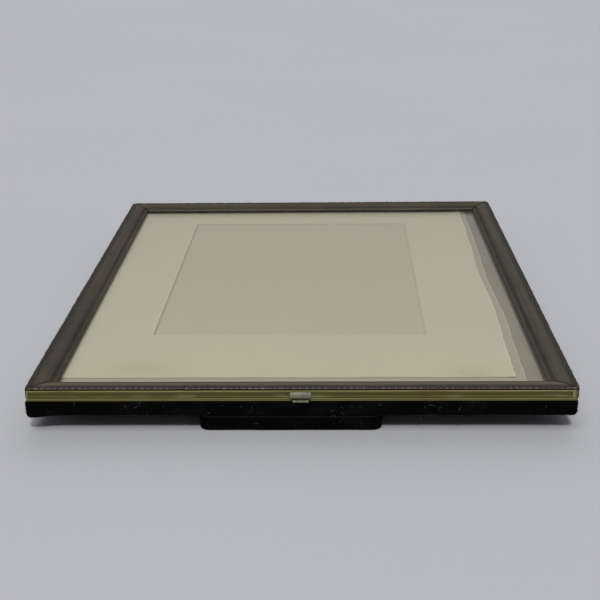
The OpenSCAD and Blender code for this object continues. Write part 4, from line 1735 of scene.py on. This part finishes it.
@dataclass
class EaselLeg:
    """The folded easel leg: board, velvet, lining and hinge."""

    foot_width: float = 72.0
    head_width: float = 42.0
    corner: float = 4.0
    cloth_size: tuple[float, float] = (0.086, 0.217)
    cloth_area: float = 0.0155
    lining_size: tuple[float, float] = (0.0706, 0.2032)
    lining_area: float = 0.0114

    def corners(self, inset: float) -> list[tuple[float, float]]:
        """The leg's corners drawn in by an inset, in millimetres."""
        low, high = (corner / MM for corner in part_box("leg_velvet"))
        x = (low.x + high.x) / 2
        slope = (self.foot_width - self.head_width) / 2 / (high.y - low.y)
        near, far = low.y + inset, high.y - inset
        side = inset * math.hypot(1, slope)
        foot = self.foot_width / 2 - slope * inset - side
        head = self.head_width / 2 + slope * inset - side
        return [(x - foot, near), (x + foot, near), (x + head, far), (x - head, far)]

    def build(self) -> None:
        """Makes the velvet and lining, and dresses the rest."""
        self.velvet()
        self.lining()
        dress("leg_board", WOOD)
        dress("leg_hinge_leaf", STEEL, 0.1)
        dress("leg_hinge_plate", STEEL, 0.1)
        dress("leg_hinge_pin", STEEL, 0.08)
        dress("leg_leaf_rivets", STEEL)
        self.rivets()

    def velvet(self) -> None:
        """The velvet under and round the leg, open where the leaf leaves it."""
        low, high = (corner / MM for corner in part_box("leg_velvet"))
        shell = VelvetShell(self.corners(0), self.corner, low.z, high.z, round_off=1.2, seed=9)
        rings, shown = shell.rings()
        x = np.abs(rings[..., 0] / MM - (low.x + high.x) / 2)
        at_leaf = (x < 9.6) & (rings[..., 1] / MM > high.y - 2.5)
        rings[..., 2] = np.where(at_leaf, np.minimum(rings[..., 2], (high.z - 0.75) * MM), rings[..., 2])
        rings[..., 2] = np.maximum(rings[..., 2], 0.0)
        side = (rings[..., 2] > (low.z + 0.25) * MM) * 1.0
        above = (rings[..., 2] > (low.z + 3.0) * MM) * 1.0
        form = Form().rings(rings, None, shown=shown * side, linty=shown * above * lint_patches(rings))
        cloth = show("leg_velvet_cloth", form.mesh("leg_velvet_cloth", 60), VELVET, "easel_leg", "leg_velvet")
        extra = Pile(lint_density=1.6e5).strew(cloth, "easel_leg", 6)

    def lining(self) -> None:
        """The thin cloth glued over the leg's inner face."""
        low, high = (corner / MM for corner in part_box("leg_lining"))
        ring = rounded_ring(self.corners(0.4), self.corner - 0.4, 2.0)
        rows = [
            np.column_stack([ring[:, :2] - ring[:, 2:] * inset, np.full(len(ring), z)])
            for inset, z in ((3.0, low.z), (0.05, low.z), (0.0, low.z + 0.1), (0.0, high.z - 0.15),
                             (0.12, high.z), (3.0, high.z))
        ]
        form = Form().rings(np.array(rows) * MM)
        cloth = show("leg_lining_cloth", form.mesh("leg_lining_cloth"), LINING, "easel_leg", "leg_lining")

    def rivets(self) -> None:
        """Four domed rivets through the fixed plate, heads down."""
        low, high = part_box("leg_plate_rivets")
        plate = low.z + 0.45 * MM
        r = 1.5 * MM
        spots = [(x, y, plate) for x in (low.x + r, high.x - r) for y in (low.y + r, high.y - r)]
        mesh = bpy.data.meshes.new("spots")
        mesh.from_pydata(spots, [], [])
        head = spun_head([(0.96, -0.1), (1.0, 0.08), (0.8, 0.28), (0.42, 0.4), (0.1, 0.43)])
        made = FIXINGS.run(
            bpy.data.objects.new("spots", mesh), "leg_plate_rivet_heads", Facing=[math.pi, 0.0, 0.0],
            Head=head, Size=[1.5, 1.5, 1.0], Unevenness=0.02, Material=STEEL.material(),
        )
        show("leg_plate_rivet_heads", made, STEEL, "back", "leg_plate_rivets")


@dataclass
class Studio:
    """Camera, floor and light."""

    lens: float = 67.88
    place: Colour = (0.01062, -0.52476, 0.20185)
    right: Colour = (0.99969, 0.02171, -0.01224)
    up: Colour = (0.00385, 0.35070, 0.93648)
    behind: Colour = (0.02462, -0.93623, 0.35050)
    sky: Colour = (0.92, 0.93, 0.96)
    sky_strength: float = 0.24
    suns: dict[str, tuple[float, float, float, float, bool]] = field(default_factory=lambda: {
        "front": (5.0, 52.0, 7.0, 1.36, True),
        "above": (-20.0, 66.0, 35.0, 0.74, True),
        "behind": (178.0, 40.0, 55.0, 0.76, False),
    })

    def camera(self) -> None:
        """The camera, a little above the catch edge."""
        data = bpy.data.cameras.new("camera")
        data.lens = self.lens
        data.sensor_width = 36.0
        data.clip_start = 0.01
        camera = bpy.data.objects.new("camera", data)
        turn = Matrix((self.right, self.up, self.behind)).transposed()
        camera.matrix_world = Matrix.Translation(self.place) @ turn.to_4x4()
        bpy.context.scene.collection.objects.link(camera)
        bpy.context.scene.camera = camera

    def floor(self) -> None:
        """The pale surface under it, wide enough to fill the view."""
        mesh = bpy.data.meshes.new("floor")
        mesh.from_pydata([(-12, -12, 0), (12, -12, 0), (12, 12, 0), (-12, 12, 0)], [], [(0, 1, 2, 3)])
        mesh.materials.append(PaleFloor("pale_floor", "").material())
        floor = bpy.data.objects.new("floor", mesh)
        bpy.context.scene.collection.objects.link(floor)

    def sun(self, name: str, azimuth: float, height: float, spread: float, power: float,
            glossy: bool) -> None:
        """Adds an even light from one direction.

        Args:
            name: its name.
            azimuth: where it comes from: 0 is the camera's side, 90 the right.
            height: degrees above the floor.
            spread: how wide it looks, in degrees.
            power: its strength.
            glossy: whether it shows in shiny faces.
        """
        data = bpy.data.lights.new(name, "SUN")
        data.angle = math.radians(spread)
        data.energy = power
        a, e = math.radians(azimuth), math.radians(height)
        towards = Vector((math.sin(a) * math.cos(e), -math.cos(a) * math.cos(e), math.sin(e)))
        sun = bpy.data.objects.new(name, data)
        sun.matrix_world = Matrix.Translation(towards) @ towards.to_track_quat("Z", "Y").to_matrix().to_4x4()
        sun.visible_glossy = glossy
        bpy.context.scene.collection.objects.link(sun)

    def lights(self) -> None:
        """Soft light from the front, above and behind, and a pale room."""
        for name, (azimuth, height, spread, power, glossy) in self.suns.items():
            self.sun(name, azimuth, height, spread, power, glossy)
        world = bpy.data.worlds.new("room")
        world.use_nodes = True
        world.node_tree.nodes.clear()
        web = Web(world.node_tree)
        sky = web.node("ShaderNodeBackground", None,
                       {"Color": (*self.sky, 1.0), "Strength": self.sky_strength})
        web.node("ShaderNodeOutputWorld", None, {"Surface": sky})
        bpy.context.scene.world = world

    def build(self) -> None:
        """Sets camera, floor, lights and an even display of colours."""
        self.camera()
        self.floor()
        self.lights()
        bpy.context.scene.view_settings.view_transform = "Standard"


FIXINGS = Fixings()
STREWN = Strewn()


def main() -> None:
    """Builds the studio and every sub-assembly in order."""
    logging.basicConfig(level=logging.INFO, format="%(message)s")
    Studio().build()
    for part in (FrontFrame(), Glazing(), CardStack(), BackCase(), FrontHinges(), Catch(), EaselLeg()):
        part.build()
        LOG.info("%s done", type(part).__name__)


if __name__ == "__main__":
    main()
